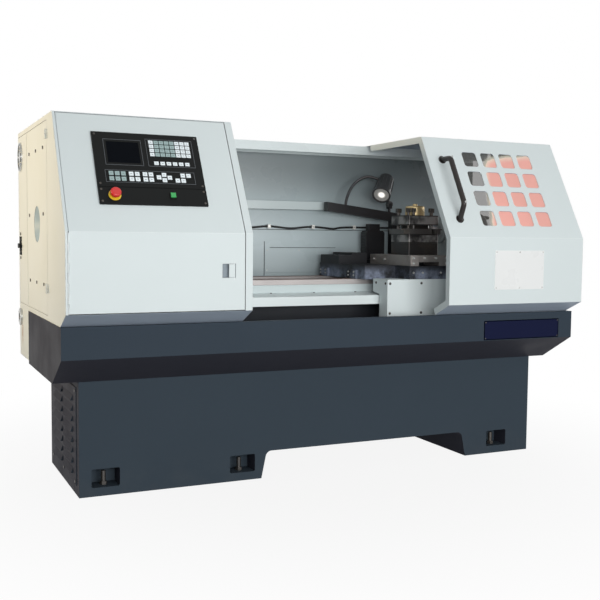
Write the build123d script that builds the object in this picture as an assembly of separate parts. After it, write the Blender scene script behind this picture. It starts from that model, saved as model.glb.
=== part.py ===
from build123d import *
import os
from math import hypot, pi, sin

os.makedirs("parts", exist_ok=True)

# Overall size: X along the bed to the tailstock, Y to the back, Z up from the floor
machine_length = 2454
machine_depth = 1190
machine_height = 1543

# Sheet metal, running clearances and the overrun of cuts
sheet = 3
seam_gap = 3
slide_gap = 0.5
shaft_gap = 0.05
screw_gap = 0.4
cut_over = 6

# Stand
stand_left_inset = 117
stand_right_inset = 82
stand_height = 477
stand_setback = 304
stand_back_inset = 245
stand_wall = 12
left_foot = 797
right_foot = 374
arch_height = 120
arch_lean = 26
arch_radius = 28
window_length = 117
window_height = 77
window_sill = 36
window_radius = 8
window_left_inset = 50
window_inner_inset = 30
window_right_inset = 133

# Levelling bolts in the windows
lug_thickness = 16
lug_depth = 90
level_radius = 10
level_rise = 58
level_nut_radius = 16
level_nut_height = 14
level_pad_radius = 26
level_pad_height = 12
level_inset = 48
pocket_wall = 4

# Louvred vent cover on the left end of the stand
vent_margin_front = 46
vent_margin_back = 60
vent_margin_bottom = 42
vent_margin_top = 30
vent_columns = 2
vent_rows = 8
louvre_height = 26
louvre_proud = 10
louvre_skin = 2
louvre_width_share = 0.78
louvre_field_share = 0.86
frame_screw_radius = 6
frame_screw_height = 3
vent_screw_inset = 14

# Chip tray
tray_reveal = 2
tray_setback = 93.5
tray_back_inset = 282
tray_height = 242
tray_face = 126
tray_run = 202
tray_wall = 4
tray_lip = 30
name_plate_right_inset = 80
name_plate_length = 435
name_plate_height = 90
name_plate_drop = 33
plate_thickness = 1.5
name_screw_inset = 8

# Spindle line and bed
spindle_y = 47
spindle_height = 1110
bed_left_inset = 214
bed_right_inset = 70
bed_half_width = 195
bed_bottom = 600
way_top = 870
way_depth = 24
way_width = 90
way_overhang = 12
bed_foot_length = 430
bed_rib_thickness = 40
bed_rib_drop = 120
bed_rib_shares = (0.02, 0.24, 0.42, 0.6, 0.78, 0.98)

# Screw cover, lengthways ball screw and its motor
cover_reach = 122
cover_over_screw = 26
cover_rise = 9
cover_drop = 41
screw_radius = 16
screw_height = 774
screw_reach = 66
support_length = 40
support_half = 24
motor_side = 108
z_motor_length = 165
z_motor_inset = 70
coupling_gap = 4

# Headstock, spindle, chuck and drive
headstock_left_inset = 228
headstock_length = 490
headstock_half_width = 165
headstock_height = 410
headstock_chamfer = 30
spindle_radius = 45
spindle_bore = 26
spindle_tail = 110
nose_radius = 80
nose_length = 34
nose_gap = 2
chuck_radius = 115
chuck_length = 85
chuck_bore = 30
jaw_width = 26
jaw_inner = 34
jaw_outer = 108
jaw_length = 40
jaw_step = 20
jaw_slot_depth = 18
jaw_count = 3
pulley_radius = 115
pulley_width = 62
pulley_offset = 18
motor_pulley_radius = 70
motor_axis_height = 232
motor_radius = 128
motor_length = 380
motor_offset = 190
motor_shaft_radius = 19
motor_shaft_depth = 60
motor_foot_width = 220
motor_shelf_height = 70
motor_shelf_thickness = 14
belt_count = 3
belt_width = 14
belt_pitch = 19
belt_thickness = 9
belt_gap = 0.6
belt_slot_margin = 14

# Headstock hood
lock_proud = 14
hood_length = 734
hood_rise = 54
hood_kink_share = 0.3974
hood_slope_run = 260
hood_skirt_run = 112
seam_strip = 30
corner_strip = 10
front_hinge_radius = 3
front_hinge_knuckles = 8
bulkhead_hole = 92
bulkhead_bed_gap = 14
cabinet_rise = 12
cabinet_left_inset = 26
hatch_margin = 40
hatch_columns = 2
hatch_rows = 6
hatch_pitch = 42
hatch_rise = 210
hatch_screw_rows = 4
hatch_screw_inset = 16

# Control panel on the hood slope
panel_left = 139
panel_length = 427
panel_low = 117
panel_high = 441
panel_proud = 9
panel_box_depth = 64
panel_box_margin = 18
panel_split = 189
panel_groove = 4
panel_groove_depth = 2
screen_left = 52
screen_length = 128
screen_low = 301
screen_high = 398
screen_depth = 3
screen_glass = 2
key_proud = 1.6
keypad_left = 222
keypad_low = 337
keypad_pitch = 21.2
keypad_rise = 19.2
keypad_column_count = 8
keypad_row_count = 4
key_length = 18
key_height = 15.5
edit_key_left = 233
edit_key_low = 297
edit_key_pitch = 25.2
edit_key_count = 6
deck_left = 48
deck_low = 219
deck_pitch = 23.5
deck_rise = 24
deck_size = 18
deck_gap_share = 0.31
deck_row_count = 2
deck_group_counts = (3, 2, 2)
jog_shares = ((0, 0.5), (0.92, 0), (0.92, 1), (1.84, 0.5))
cycle_shares = ((0, 0), (1, 0), (1, 1), (2, 1))
stop_along = 60
stop_up = 155
stop_ring_radius = 24
stop_ring_height = 2
stop_stem_radius = 12
stop_stem_height = 16
stop_cap_radius = 20
stop_cap_height = 14
stop_travel = 6
start_along = 288
start_up = 158
start_size = 20
start_bezel = 3
start_height = 8
button_gap = 0.6

# Flush latch on the front access door
latch_right_inset = 42
latch_length = 56
latch_height = 55
latch_rise = 131
latch_depth = 16
latch_wall = 2
latch_pin_radius = 3
paddle_share = 0.5
paddle_thickness = 3
paddle_gap = 1

# End door with lock, vent and screws
end_hinge_y = -211
end_door_back_inset = 12
end_door_rise = 23
end_door_margin_top = 23
hinge_radius = 5
hinge_length = 38
hinge_drop = 53
hinge_rise = 108
hinge_leaf = 22
port_radius = 77
vent_back_inset = 73
vent_drop = 115
vent_radius = 68
vent_rim = 6
vent_hub = 24
vent_spoke = 6
vent_depth = 5
end_screw_radius = 7
end_screw_proud = 3
end_screw_front = -122
end_screw_back = 247
end_screw_drop = 100
end_screw_rise = 120
end_screw_over_spindle = 41
end_rib_height = 34
end_rib_depth = 14
end_rib_overhang = 22
lock_back_inset = 58
lock_rise_share = 0.347
lock_plate_length = 30
lock_plate_height = 82
lock_plate_thickness = 5
lock_boss_radius = 11
lock_lever_length = 44
lock_lever_width = 12
lock_rivet_rise = 56
inlet_back_inset = 49
inlet_rise = 185
inlet_radius = 40
inlet_bush = 22
inlet_proud = 9

# Rear guard with channel, cable and clips
guard_right_inset = 24
rail_front = 172
rail_depth = 43
guard_bottom = 640
channel_top = 1245
channel_height = 41
channel_depth = 54
channel_right = 283
access_left = -55
access_right = 325
access_low = 884
access_high = 1009
access_thickness = 2
cable_height = 1118
cable_radius = 5
cable_standoff = 14
cable_bend = 9
cable_right = 690
cable_sag = 9
clip_length = 16
clip_height = 20
clip_depth = 22
clip_shares = (0.153, 0.369, 0.579, 0.784)

# Carriage: saddle, apron and cross motor
saddle_left = 235
saddle_length = 460
saddle_front = -215
saddle_back = 262
saddle_top = 936
guide_left = 450
guide_width = 110
guide_height = 18
wing_right = 392
wing_front = 48
wing_back_inset = 10
wing_top = 990
wing_step = 70
wing_step_drop = 12
wiper_length = 12
wiper_height = 42
lip_left = 400
lip_right = 640
lip_front = -346
apron_left = 281
apron_length = 364
apron_front = -350
apron_top = 875
apron_bottom = 700
apron_wall = 4
apron_cover_gap = 6
bracket_left = 430
bracket_length = 70
bracket_wall = 26
nut_radius = 27
nut_low_gap = 14
x_motor_left = 470
x_motor_front = 198
x_motor_depth = 58
x_motor_height = 112
x_motor_plug = 62
x_motor_plug_height = 34
x_motor_chamfer = 10

# Cross slide and turret
cross_left = 405
cross_width = 210
cross_front = -345
cross_length = 382
cross_top = 985
turret_x = 534
turret_y = -167
turret_side = 166
turret_edge = 6
turret_base_top = 1042
turret_low_top = 1085
turret_slot_height = 42
turret_top = 1174
turret_slot_depth = 34
clamp_half_pitch = 48
clamp_inset = 17
clamp_radius = 6
clamp_head = 17
clamp_head_height = 20
clamp_rise = 34
cap_radius = 46
cap_height = 46
cap_edge = 8
tool_side = 25
tool_inset = 4
tool_tail = 36
tool_reach = 38
tip_length = 14
tip_height = 6
side_count = 4

# Work lamp on its arm
arm_left = 237
arm_right = 650
arm_left_top = 1244
arm_right_top = 1194
arm_height = 46
arm_front = 182
arm_depth = 42
post_length = 36
stem_x = 607
stem_radius = 7
stem_top = 1240
knuckle_radius = 16
knuckle_depth = 22
fork_gap = 1
fork_wall = 6
lamp_face_x = 517
lamp_face_front = 73
lamp_face_height = 1284
lamp_back_x = 587
lamp_back_height = 1368
lamp_face_radius = 46
lamp_back_radius = 40
lamp_neck_share = 0.7
lens_radius = 39
lens_depth = 4
conduit_radius = 5
conduit_rise = 12
conduit_end_gap = 14
conduit_foot_x = 349

# Tailstock behind the door
tail_left = 805
tail_length = 210
tail_base_height = 96
tail_column_half = 66
tail_column_inset = 16
barrel_radius = 68
quill_radius = 35
quill_reach = 72
quill_stop = 40
centre_length = 44
wheel_radius = 88
wheel_rim = 9
wheel_offset = 34
wheel_hub = 20
wheel_web = 8
tail_screw_radius = 10
lever_radius = 7
lever_length = 92
lever_boss_radius = 15
lever_boss_length = 26
lever_share = 0.7

# Sliding door
door_length = 749
door_front_inset = 2
door_rise = 52
door_kink_share = 0.3937
door_top_drop = 10
door_slope_run = 256
door_skirt_run = 110
door_back = 208
door_flange = 30
door_flange_back = 140
grid_left = 197
grid_low_share = 0.1174
grid_pitch_share = 0.1988
grid_size_share = 0.743
grid_radius = 14
grid_count = 4
pane_margin = 26
pane_thickness = 3
handle_along = 78
handle_low = 93
handle_high = 405
handle_standoff = 62
handle_inset_low = 46
handle_inset_high = 30
handle_radius = 12
handle_bend = 26
handle_foot_radius = 19
handle_foot_height = 4
sign_left = 242
sign_length = 277
sign_rise = 65
sign_height = 178

# Places that follow from the sizes
x_right = machine_length / 2
y_front = -machine_depth / 2
y_back = machine_depth / 2
hood_x0 = -x_right + lock_proud
hood_x1 = hood_x0 + hood_length
hood_y = y_front + front_hinge_radius
stand_x0 = -x_right + stand_left_inset
stand_x1 = x_right - stand_right_inset
stand_y0 = y_front + stand_setback
stand_y1 = y_back - stand_back_inset
stand_depth = stand_y1 - stand_y0
tray_x0 = hood_x0 - tray_reveal
tray_y0 = y_front + tray_setback
tray_y1 = y_back - tray_back_inset
tray_rim = stand_height + tray_height
tray_floor = stand_height + tray_wall
bed_x0 = hood_x0 + bed_left_inset
bed_x1 = x_right - bed_right_inset
bed_y0 = spindle_y - bed_half_width
bed_y1 = spindle_y + bed_half_width
bed_face = bed_y0 + way_overhang
screw_y = bed_face - screw_reach
cover_x1 = bed_x1 - z_motor_inset - z_motor_length
headstock_x0 = hood_x0 + headstock_left_inset
headstock_x1 = headstock_x0 + headstock_length
nose_x1 = headstock_x1 + nose_gap + nose_length
chuck_x1 = nose_x1 + chuck_length
pulley_x1 = headstock_x0 - pulley_offset
pulley_x0 = pulley_x1 - pulley_width
name_x1 = x_right - name_plate_right_inset
cover_top = screw_height + cover_over_screw
hood_front_bottom = tray_rim + hood_rise
hood_kink = hood_front_bottom + (machine_height - hood_front_bottom) * hood_kink_share
cabinet_front = tray_y1
cabinet_bottom = stand_height + cabinet_rise
hatch_face = y_back - louvre_proud
hatch_y = hatch_face - sheet
latch_low = hood_front_bottom + latch_rise
end_door_back = y_back - end_door_back_inset
end_door_low = tray_rim + end_door_rise
door_z1 = machine_height - end_door_margin_top
hinge_places = (end_door_low + hinge_rise, door_z1 - hinge_drop)
vent_y = y_back - vent_back_inset
vent_height = machine_height - vent_drop
end_screw_heights = (
    door_z1 - end_screw_drop, spindle_height + end_screw_over_spindle, end_door_low + end_screw_rise
)
lock_y = y_back - lock_back_inset
lock_height = end_door_low + (door_z1 - end_door_low) * lock_rise_share
inlet_y = y_back - inlet_back_inset
inlet_height = cabinet_bottom + inlet_rise
guard_x1 = x_right - guard_right_inset
guard_y = tray_y1 - tray_wall
guard_face = guard_y - sheet
cable_y = guard_face - cable_standoff
saddle_x1 = saddle_left + saddle_length
door_x1 = guard_x1
door_left = door_x1 - door_length
door_y = y_front + door_front_inset
door_top = machine_height - door_top_drop
door_front_bottom = tray_rim + door_rise
door_kink = door_front_bottom + (door_top - door_front_bottom) * door_kink_share
door_slope_length = hypot(door_slope_run, door_top - door_kink)
grid_low = door_slope_length * grid_low_share
grid_pitch = door_slope_length * grid_pitch_share
grid_size = grid_pitch * grid_size_share
apron_back = saddle_front
rail_top = door_top - sheet - slide_gap

# Outlines of the sheet metal in the YZ plane, from the tray rim up and over
hood_path = [
    (hood_y + hood_skirt_run, tray_rim),
    (hood_y, hood_front_bottom),
    (hood_y, hood_kink),
    (hood_y + hood_slope_run, machine_height),
    (cabinet_front, machine_height),
]
door_path = [
    (door_y + door_skirt_run, tray_rim + slide_gap),
    (door_y, door_front_bottom),
    (door_y, door_kink),
    (door_y + door_slope_run, door_top),
    (door_back, door_top),
]
guard_path = [
    (rail_front, rail_top - rail_depth),
    (rail_front, rail_top),
    (guard_y, rail_top),
    (guard_y, guard_bottom),
]
cover_path = [
    (bed_face, cover_top + cover_rise),
    (bed_face - cover_reach - way_overhang, cover_top),
    (bed_face - cover_reach - way_overhang, cover_top - cover_drop),
]


def block(x0, x1, y0, y1, z0, z1):
    return Pos((x0 + x1) / 2, (y0 + y1) / 2, (z0 + z1) / 2) * Box(x1 - x0, y1 - y0, z1 - z0)


def prism_x(points, x0, x1):
    face = make_face(Polyline(*points, close=True))
    return Pos(x0, 0, 0) * extrude(Plane.YZ * face, amount=x1 - x0)


def prism_y(points, y0, y1):
    face = make_face(Polyline(*points, close=True))
    return Pos(0, y1, 0) * extrude(Plane.XZ * face, amount=y1 - y0)


def rod_x(y, z, radius, x0, x1):
    return Pos((x0 + x1) / 2, y, z) * Rot(0, 90, 0) * Cylinder(radius, x1 - x0)


def rod_y(x, z, radius, y0, y1):
    return Pos(x, (y0 + y1) / 2, z) * Rot(90, 0, 0) * Cylinder(radius, y1 - y0)


def rod_z(x, y, radius, z0, z1):
    return Pos(x, y, (z0 + z1) / 2) * Cylinder(radius, z1 - z0)


def offset_path(points, distance):
    """Parallel of an open outline, to the right of its run."""
    lines = []
    for (a, b), (c, d) in zip(points, points[1:]):
        run = hypot(c - a, d - b)
        across = ((d - b) / run * distance, (a - c) / run * distance)
        lines.append(((a + across[0], b + across[1]), (c + across[0], d + across[1])))
    moved = [lines[0][0]]
    for (p, q), (r, s) in zip(lines, lines[1:]):
        u = (q[0] - p[0], q[1] - p[1])
        v = (s[0] - r[0], s[1] - r[1])
        share = ((r[0] - p[0]) * v[1] - (r[1] - p[1]) * v[0]) / (u[0] * v[1] - u[1] * v[0])
        moved.append((p[0] + u[0] * share, p[1] + u[1] * share))
    return moved + [lines[-1][1]]


def band(points, thickness, x0, x1):
    """Folded sheet whose outer face follows an outline."""
    return prism_x(points + offset_path(points, thickness)[::-1], x0, x1)


def step_to(start, end, distance):
    """Point at a distance from one corner towards the next."""
    share = distance / hypot(end[0] - start[0], end[1] - start[1])
    return (start[0] + (end[0] - start[0]) * share, start[1] + (end[1] - start[1]) * share)


def slope_frame(x, low, high):
    """Frame on a sloping front: X along, Y up the slope, Z out of the face."""
    run, rise = high[0] - low[0], high[1] - low[1]
    return Plane(origin=(x, low[0], low[1]), x_dir=(1, 0, 0), z_dir=(0, -rise, run)).location


def slotted_plate(width, height, radius, depth):
    """Rounded rectangle, as deep as asked, centred on its frame."""
    return extrude(RectangleRounded(width, height, radius), amount=depth, both=True)


def louvre_form(proud, height, width):
    """Wedge of a pressed louvre, out along -X, with its open edge below."""
    return prism_y([(0, 0), (-proud, 0), (0, height)], -width / 2, width / 2)


def add_louvres(plate, frame, columns, rows, column_pitch, row_pitch):
    """Presses a field of louvres into a plate whose outer face is the frame's YZ plane."""
    width = column_pitch * louvre_width_share
    inner_width = width - 2 * louvre_skin
    inner_proud = louvre_proud - louvre_skin
    inner_height = louvre_height * inner_proud / louvre_proud
    for column in range(columns):
        for row in range(rows):
            y = (column - (columns - 1) / 2) * column_pitch
            z = (row - (rows - 1) / 2) * row_pitch - louvre_height / 2
            spot = frame * Pos(0, y, z)
            plate += spot * louvre_form(louvre_proud, louvre_height, width)
            hollow = louvre_form(inner_proud, inner_height, inner_width)
            hollow += block(-inner_proud, 0, -inner_width / 2, inner_width / 2, -cut_over, 0)
            hollow += block(0, sheet + cut_over, -inner_width / 2, inner_width / 2, 0, inner_height / 2)
            plate -= spot * hollow
    return plate


hood_slope = slope_frame(hood_x0, hood_path[2], hood_path[3])
door_slope = slope_frame(door_left, door_path[2], door_path[3])
parts = {}

# Stand: welded shell, open below, with the arch between its feet
arch_x0 = stand_x0 + left_foot
arch_x1 = stand_x1 - right_foot
window_places = [
    stand_x0 + window_left_inset + window_length / 2,
    arch_x0 - window_inner_inset - window_length / 2,
    stand_x1 - window_right_inset - window_length / 2,
]
window_middle = window_sill + window_height / 2
level_rows = [stand_y0 + level_inset, stand_y1 - level_inset]
level_places = [(x, y) for x in window_places for y in level_rows]


def arch(grow):
    outline = [
        (arch_x0 - grow, -cut_over),
        (arch_x0 + arch_lean - grow, arch_height + grow),
        (arch_x1 - arch_lean + grow, arch_height + grow),
        (arch_x1 + grow, -cut_over),
    ]
    body = prism_y(outline, stand_y0 - cut_over, stand_y1 + cut_over)
    corners = body.edges().filter_by(Axis.Y).sort_by(Axis.Z)[-2:]
    return fillet(corners, arch_radius)


stand = block(stand_x0, stand_x1, stand_y0, stand_y1, 0, stand_height) - arch(0)
stand_hollow = block(
    stand_x0 + stand_wall,
    stand_x1 - stand_wall,
    stand_y0 + stand_wall,
    stand_y1 - stand_wall,
    -cut_over,
    stand_height - stand_wall,
)
stand -= stand_hollow - arch(stand_wall)
for x, y in level_places:
    inner = y + lug_depth / 2 if y < stand_y0 + stand_depth / 2 else y - lug_depth / 2
    near = stand_y0 if y < stand_y0 + stand_depth / 2 else stand_y1
    lug_y = sorted((inner, near))
    half = window_length / 2
    stand += block(x - half, x + half, lug_y[0], lug_y[1], window_sill - lug_thickness, window_sill)
for x in window_places:
    hole = Pos(x, (stand_y0 + stand_y1) / 2, window_middle) * Rot(90, 0, 0)
    cutter = hole * slotted_plate(window_length, window_height, window_radius, stand_depth)
    stand -= cutter - block(
        x - window_length, x + window_length, stand_y0, stand_y1, -cut_over, window_sill
    )
for x, y in level_places:
    stand -= rod_z(x, y, level_radius + screw_gap, -cut_over, window_sill + cut_over)
motor_x0 = pulley_x1 + motor_offset
motor_x1 = motor_x0 + motor_length
shelf_z1 = motor_shelf_height + motor_shelf_thickness
stand += block(
    motor_x0,
    motor_x1,
    stand_y0 + stand_wall,
    stand_y1 - stand_wall,
    motor_shelf_height,
    shelf_z1,
)
for x, y in level_places:
    front_side = y < stand_y0 + stand_depth / 2
    wall = stand_y0 + stand_wall if front_side else stand_y1 - stand_wall
    deep = y + lug_depth / 2 if front_side else y - lug_depth / 2
    past = deep + pocket_wall if front_side else deep - pocket_wall
    half = window_length / 2
    pocket_top = window_sill + window_height
    outer_y = sorted((wall, past))
    inner_y = sorted((wall, deep))
    floor_z = window_sill - lug_thickness
    outer = block(
        x - half - pocket_wall, x + half + pocket_wall, *outer_y, floor_z, pocket_top + pocket_wall
    )
    stand += outer - block(x - half, x + half, *inner_y, floor_z - cut_over, pocket_top)
    stand -= block(x - half, x + half, *inner_y, window_sill, pocket_top)
slot_x0 = pulley_x0 - belt_slot_margin
slot_x1 = pulley_x1 + belt_slot_margin
slot_y0 = spindle_y - pulley_radius - belt_thickness - belt_slot_margin
slot_y1 = spindle_y + pulley_radius + belt_thickness + belt_slot_margin
belt_slot = block(
    slot_x0, slot_x1, slot_y0, slot_y1, stand_height - stand_wall - cut_over, tray_floor + cut_over
)
stand -= belt_slot
vent_y0 = stand_y0 + vent_margin_front
vent_y1 = stand_y1 - vent_margin_back
vent_z0 = vent_margin_bottom
vent_z1 = stand_height - vent_margin_top
vent_hole_y = (vent_y0 + 2 * vent_screw_inset, vent_y1 - 2 * vent_screw_inset)
vent_hole_z = (vent_z0 + 2 * vent_screw_inset, vent_z1 - 2 * vent_screw_inset)
stand -= block(stand_x0 - cut_over, stand_x0 + stand_wall + cut_over, *vent_hole_y, *vent_hole_z)
parts["base_stand"] = stand

# Levelling bolts with nut and pad
levels = []
for x, y in level_places:
    levels.append(rod_z(x, y, level_pad_radius, 0, level_pad_height))
    levels.append(rod_z(x, y, level_radius, level_pad_height, window_sill + level_rise))
    nut = extrude(RegularPolygon(level_nut_radius, 6), amount=level_nut_height)
    levels.append(Pos(x, y, window_sill) * nut)
parts["levelling_bolts"] = Part() + levels

# Louvred cover on the left end of the stand
vent = block(stand_x0 - sheet, stand_x0, vent_y0, vent_y1, vent_z0, vent_z1)
column_pitch = (vent_y1 - vent_y0) * louvre_field_share / vent_columns
row_pitch = (vent_z1 - vent_z0) * louvre_field_share / vent_rows
vent_frame = Pos(stand_x0 - sheet, (vent_y0 + vent_y1) / 2, (vent_z0 + vent_z1) / 2)
vent = add_louvres(vent, vent_frame, vent_columns, vent_rows, column_pitch, row_pitch)
parts["vent_cover"] = vent

# Chip tray
tray_path = [
    (tray_y0, tray_rim),
    (tray_y0, tray_rim - tray_face),
    (tray_y0 + tray_run, stand_height),
    (tray_y1, stand_height),
    (tray_y1, tray_rim),
]
tray_inner = offset_path(tray_path, -tray_wall)
tray_inner[0] = (tray_inner[0][0], tray_rim + cut_over)
tray_inner[-1] = (tray_inner[-1][0], tray_rim + cut_over)
tray = prism_x(tray_path, tray_x0, x_right) - prism_x(tray_inner, tray_x0 + tray_wall, x_right - tray_wall)
tray += block(tray_x0, x_right, tray_y0, tray_y0 + tray_lip, tray_rim - tray_wall, tray_rim)
tray -= belt_slot
parts["chip_tray"] = tray

# Bare plate on the tray front
name_z1 = tray_rim - name_plate_drop
name_z0 = name_z1 - name_plate_height
name_plate_left = name_x1 - name_plate_length
parts["name_plate"] = block(name_plate_left, name_x1, tray_y0 - plate_thickness, tray_y0, name_z0, name_z1)

# Fixed screws: vent cover and plate on the tray
frame_screws = []
for y in (vent_y0 + vent_screw_inset, (vent_y0 + vent_y1) / 2, vent_y1 - vent_screw_inset):
    for z in (vent_z0 + vent_screw_inset, vent_z1 - vent_screw_inset):
        face = stand_x0 - sheet
        frame_screws.append(rod_x(y, z, frame_screw_radius, face - frame_screw_height, face))
for x in (name_plate_left + name_screw_inset, name_x1 - name_screw_inset):
    for z in (name_z0 + name_screw_inset, name_z1 - name_screw_inset):
        face = tray_y0 - plate_thickness
        frame_screws.append(rod_y(x, z, frame_screw_radius / 2, face - plate_thickness, face))
hatch_x = (hood_x0 + cabinet_left_inset + hatch_margin, hood_x1 - hatch_margin)
hatch_z = (cabinet_bottom + hatch_margin, machine_height - hatch_margin)
hatch_step = (hatch_z[1] - hatch_z[0] - 2 * hatch_screw_inset) / (hatch_screw_rows - 1)
for x in (hatch_x[0] + hatch_screw_inset, hatch_x[1] - hatch_screw_inset):
    for row in range(hatch_screw_rows):
        z = hatch_z[0] + hatch_screw_inset + row * hatch_step
        frame_screws.append(rod_y(x, z, frame_screw_radius, hatch_face, hatch_face + frame_screw_height))
parts["frame_screws"] = Part() + frame_screws

# Bed: two ways on walls, cross ribs and feet, with bearing blocks for the screw
bed = block(bed_x0, bed_x1, bed_y0, bed_y0 + way_width, way_top - way_depth, way_top)
bed += block(bed_x0, bed_x1, bed_y1 - way_width, bed_y1, way_top - way_depth, way_top)
bed += block(bed_x0, bed_x1, bed_face, bed_y0 + way_width - way_overhang, bed_bottom, way_top - way_depth)
bed += block(
    bed_x0,
    bed_x1,
    bed_y1 - way_width + way_overhang,
    bed_y1 - way_overhang,
    bed_bottom,
    way_top - way_depth,
)
for share in bed_rib_shares:
    x = bed_x0 + (bed_x1 - bed_x0 - bed_rib_thickness) * share
    bed += block(
        x, x + bed_rib_thickness, bed_face, bed_y1 - way_overhang, bed_bottom, way_top - bed_rib_drop
    )
for x in (bed_x0, bed_x1 - bed_foot_length):
    bed += block(
        x, x + bed_foot_length, bed_face, bed_y1 - way_overhang, tray_floor, bed_bottom + way_depth
    )
support_places = (hood_x1 + support_length, cover_x1 - support_length)
for x in support_places:
    zs = (screw_height - support_half, min(screw_height + support_half, cover_top - sheet - slide_gap))
    bed += block(x, x + support_length, screw_y - support_half, bed_face, *zs)
    bed -= rod_x(
        screw_y, screw_height, screw_radius + shaft_gap, x - cut_over, x + support_length + cut_over
    )
parts["bed"] = bed

# Folded cover over the ball screw
cover = band(cover_path, -sheet, hood_x1, cover_x1)
parts["screw_cover"] = cover - block(
    hood_x1 - cut_over, cover_x1 + cut_over, bed_face, spindle_y, bed_bottom, way_top
)

# Lengthways ball screw and its motor
screw_x0 = support_places[0] - coupling_gap
screw_x1 = cover_x1 + coupling_gap
parts["z_ball_screw"] = rod_x(screw_y, screw_height, screw_radius, screw_x0, screw_x1)
z_motor_x0 = screw_x1 + coupling_gap
half = motor_side / 2
z_motor = block(
    z_motor_x0,
    z_motor_x0 + z_motor_length,
    screw_y - half,
    screw_y + half,
    screw_height - half,
    screw_height + half,
)
z_motor += block(
    z_motor_x0,
    z_motor_x0 + support_length,
    screw_y,
    bed_face,
    screw_height - half,
    screw_height + half,
)
parts["z_motor"] = z_motor

# Headstock casting
headstock_y0 = spindle_y - headstock_half_width
headstock_y1 = spindle_y + headstock_half_width
headstock_top = way_top + headstock_height
headstock = block(headstock_x0, headstock_x1, headstock_y0, headstock_y1, way_top, headstock_top)
headstock = chamfer(headstock.edges().filter_by(Axis.X).group_by(Axis.Z)[-1], headstock_chamfer)
bore = rod_x(
    spindle_y, spindle_height, spindle_radius + shaft_gap, headstock_x0 - cut_over, headstock_x1 + cut_over
)
parts["headstock"] = headstock - bore

# Spindle with through bore and nose flange
spindle_x0 = headstock_x0 - spindle_tail - pulley_offset
spindle = rod_x(spindle_y, spindle_height, spindle_radius, spindle_x0, nose_x1)
spindle += rod_x(spindle_y, spindle_height, nose_radius, headstock_x1 + nose_gap, nose_x1)
spindle -= rod_x(spindle_y, spindle_height, spindle_bore, spindle_x0 - cut_over, nose_x1 + cut_over)
parts["spindle"] = spindle

# Chuck with three sliding jaws
chuck = rod_x(spindle_y, spindle_height, chuck_radius, nose_x1, chuck_x1)
chuck -= rod_x(spindle_y, spindle_height, chuck_bore, nose_x1 - cut_over, chuck_x1 + cut_over)
jaw_half = jaw_width / 2
slot_half = jaw_half + slide_gap
chuck_frame = Pos(chuck_x1, spindle_y, spindle_height)
jaw_angle = 360 / jaw_count
for turn in range(jaw_count):
    slot = block(-jaw_slot_depth - slide_gap, cut_over, -slot_half, slot_half, 0, chuck_radius + cut_over)
    chuck -= chuck_frame * Rot(turn * jaw_angle, 0, 0) * slot
    jaw = block(-jaw_slot_depth, jaw_length, -jaw_half, jaw_half, jaw_inner, jaw_outer)
    high = (jaw_inner + jaw_outer) / 2
    jaw -= block(
        jaw_length - jaw_step, jaw_length + cut_over, -jaw_width, jaw_width, high, jaw_outer + cut_over
    )
    parts[f"chuck_jaw_{turn + 1}"] = chuck_frame * Rot(turn * jaw_angle, 0, 0) * jaw
parts["chuck_body"] = chuck

# Belt drive: two pulleys, belts and the main motor
pulley = rod_x(spindle_y, spindle_height, pulley_radius, pulley_x0, pulley_x1)
parts["spindle_pulley"] = pulley - rod_x(
    spindle_y, spindle_height, spindle_radius, pulley_x0 - cut_over, pulley_x1 + cut_over
)
motor_pulley = rod_x(spindle_y, motor_axis_height, motor_pulley_radius, pulley_x0, pulley_x1)
motor_pulley += rod_x(
    spindle_y, motor_axis_height, motor_shaft_radius, pulley_x1, motor_x0 + motor_shaft_depth - coupling_gap
)
parts["motor_pulley"] = motor_pulley


def belt_loop(grow):
    low = Pos(spindle_y, motor_axis_height) * Circle(motor_pulley_radius + grow)
    high = Pos(spindle_y, spindle_height) * Circle(pulley_radius + grow)
    return make_hull(low.edges() + high.edges())


belts = []
for place in range(belt_count):
    x = (pulley_x0 + pulley_x1 - belt_width) / 2 + (place - (belt_count - 1) / 2) * belt_pitch
    loop = belt_loop(belt_gap + belt_thickness) - belt_loop(belt_gap)
    belts.append(Pos(x, 0, 0) * extrude(Plane.YZ * loop, amount=belt_width))
parts["drive_belts"] = Part() + belts
motor = rod_x(spindle_y, motor_axis_height, motor_radius, motor_x0, motor_x1)
foot_half = motor_foot_width / 2
motor += block(
    motor_x0, motor_x1, spindle_y - foot_half, spindle_y + foot_half, shelf_z1, motor_axis_height
)
motor -= rod_x(
    spindle_y, motor_axis_height, motor_shaft_radius + shaft_gap,
    motor_x0 - cut_over, motor_x0 + motor_shaft_depth
)
parts["main_motor"] = motor

# Hood shell: skirt, top, end wall, seam strip and inner wall round the spindle nose
hood = band(hood_path, sheet, hood_x0, hood_x1)
front_x0 = hood_x0 + corner_strip
front_x1 = hood_x1 - seam_strip
front_low = hood_path[1]
front_high = hood_path[3]
opening = [
    (front_low[0] - cut_over, front_low[1]),
    (front_low[0] - cut_over, hood_kink),
    (front_high[0] - cut_over, front_high[1] - sheet),
    (front_high[0] + cut_over, front_high[1] - sheet),
    (hood_path[2][0] + cut_over, hood_kink),
    (front_low[0] + cut_over, front_low[1]),
]
hood -= prism_x(opening, front_x0, front_x1)
end_outline = hood_path[:-1] + [
    (y_back, machine_height),
    (y_back, cabinet_bottom),
    (cabinet_front, cabinet_bottom),
    (cabinet_front, tray_rim),
]
hood += prism_x(end_outline, hood_x0, hood_x0 + sheet)
door_y0 = end_hinge_y + hinge_radius
wall_x = (hood_x0 - cut_over, hood_x0 + sheet + cut_over)
hood -= block(
    *wall_x,
    door_y0 - seam_gap,
    end_door_back + seam_gap,
    end_door_low - seam_gap,
    door_z1 + seam_gap,
)
hood -= rod_x(inlet_y, inlet_height, inlet_bush, *wall_x)
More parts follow.
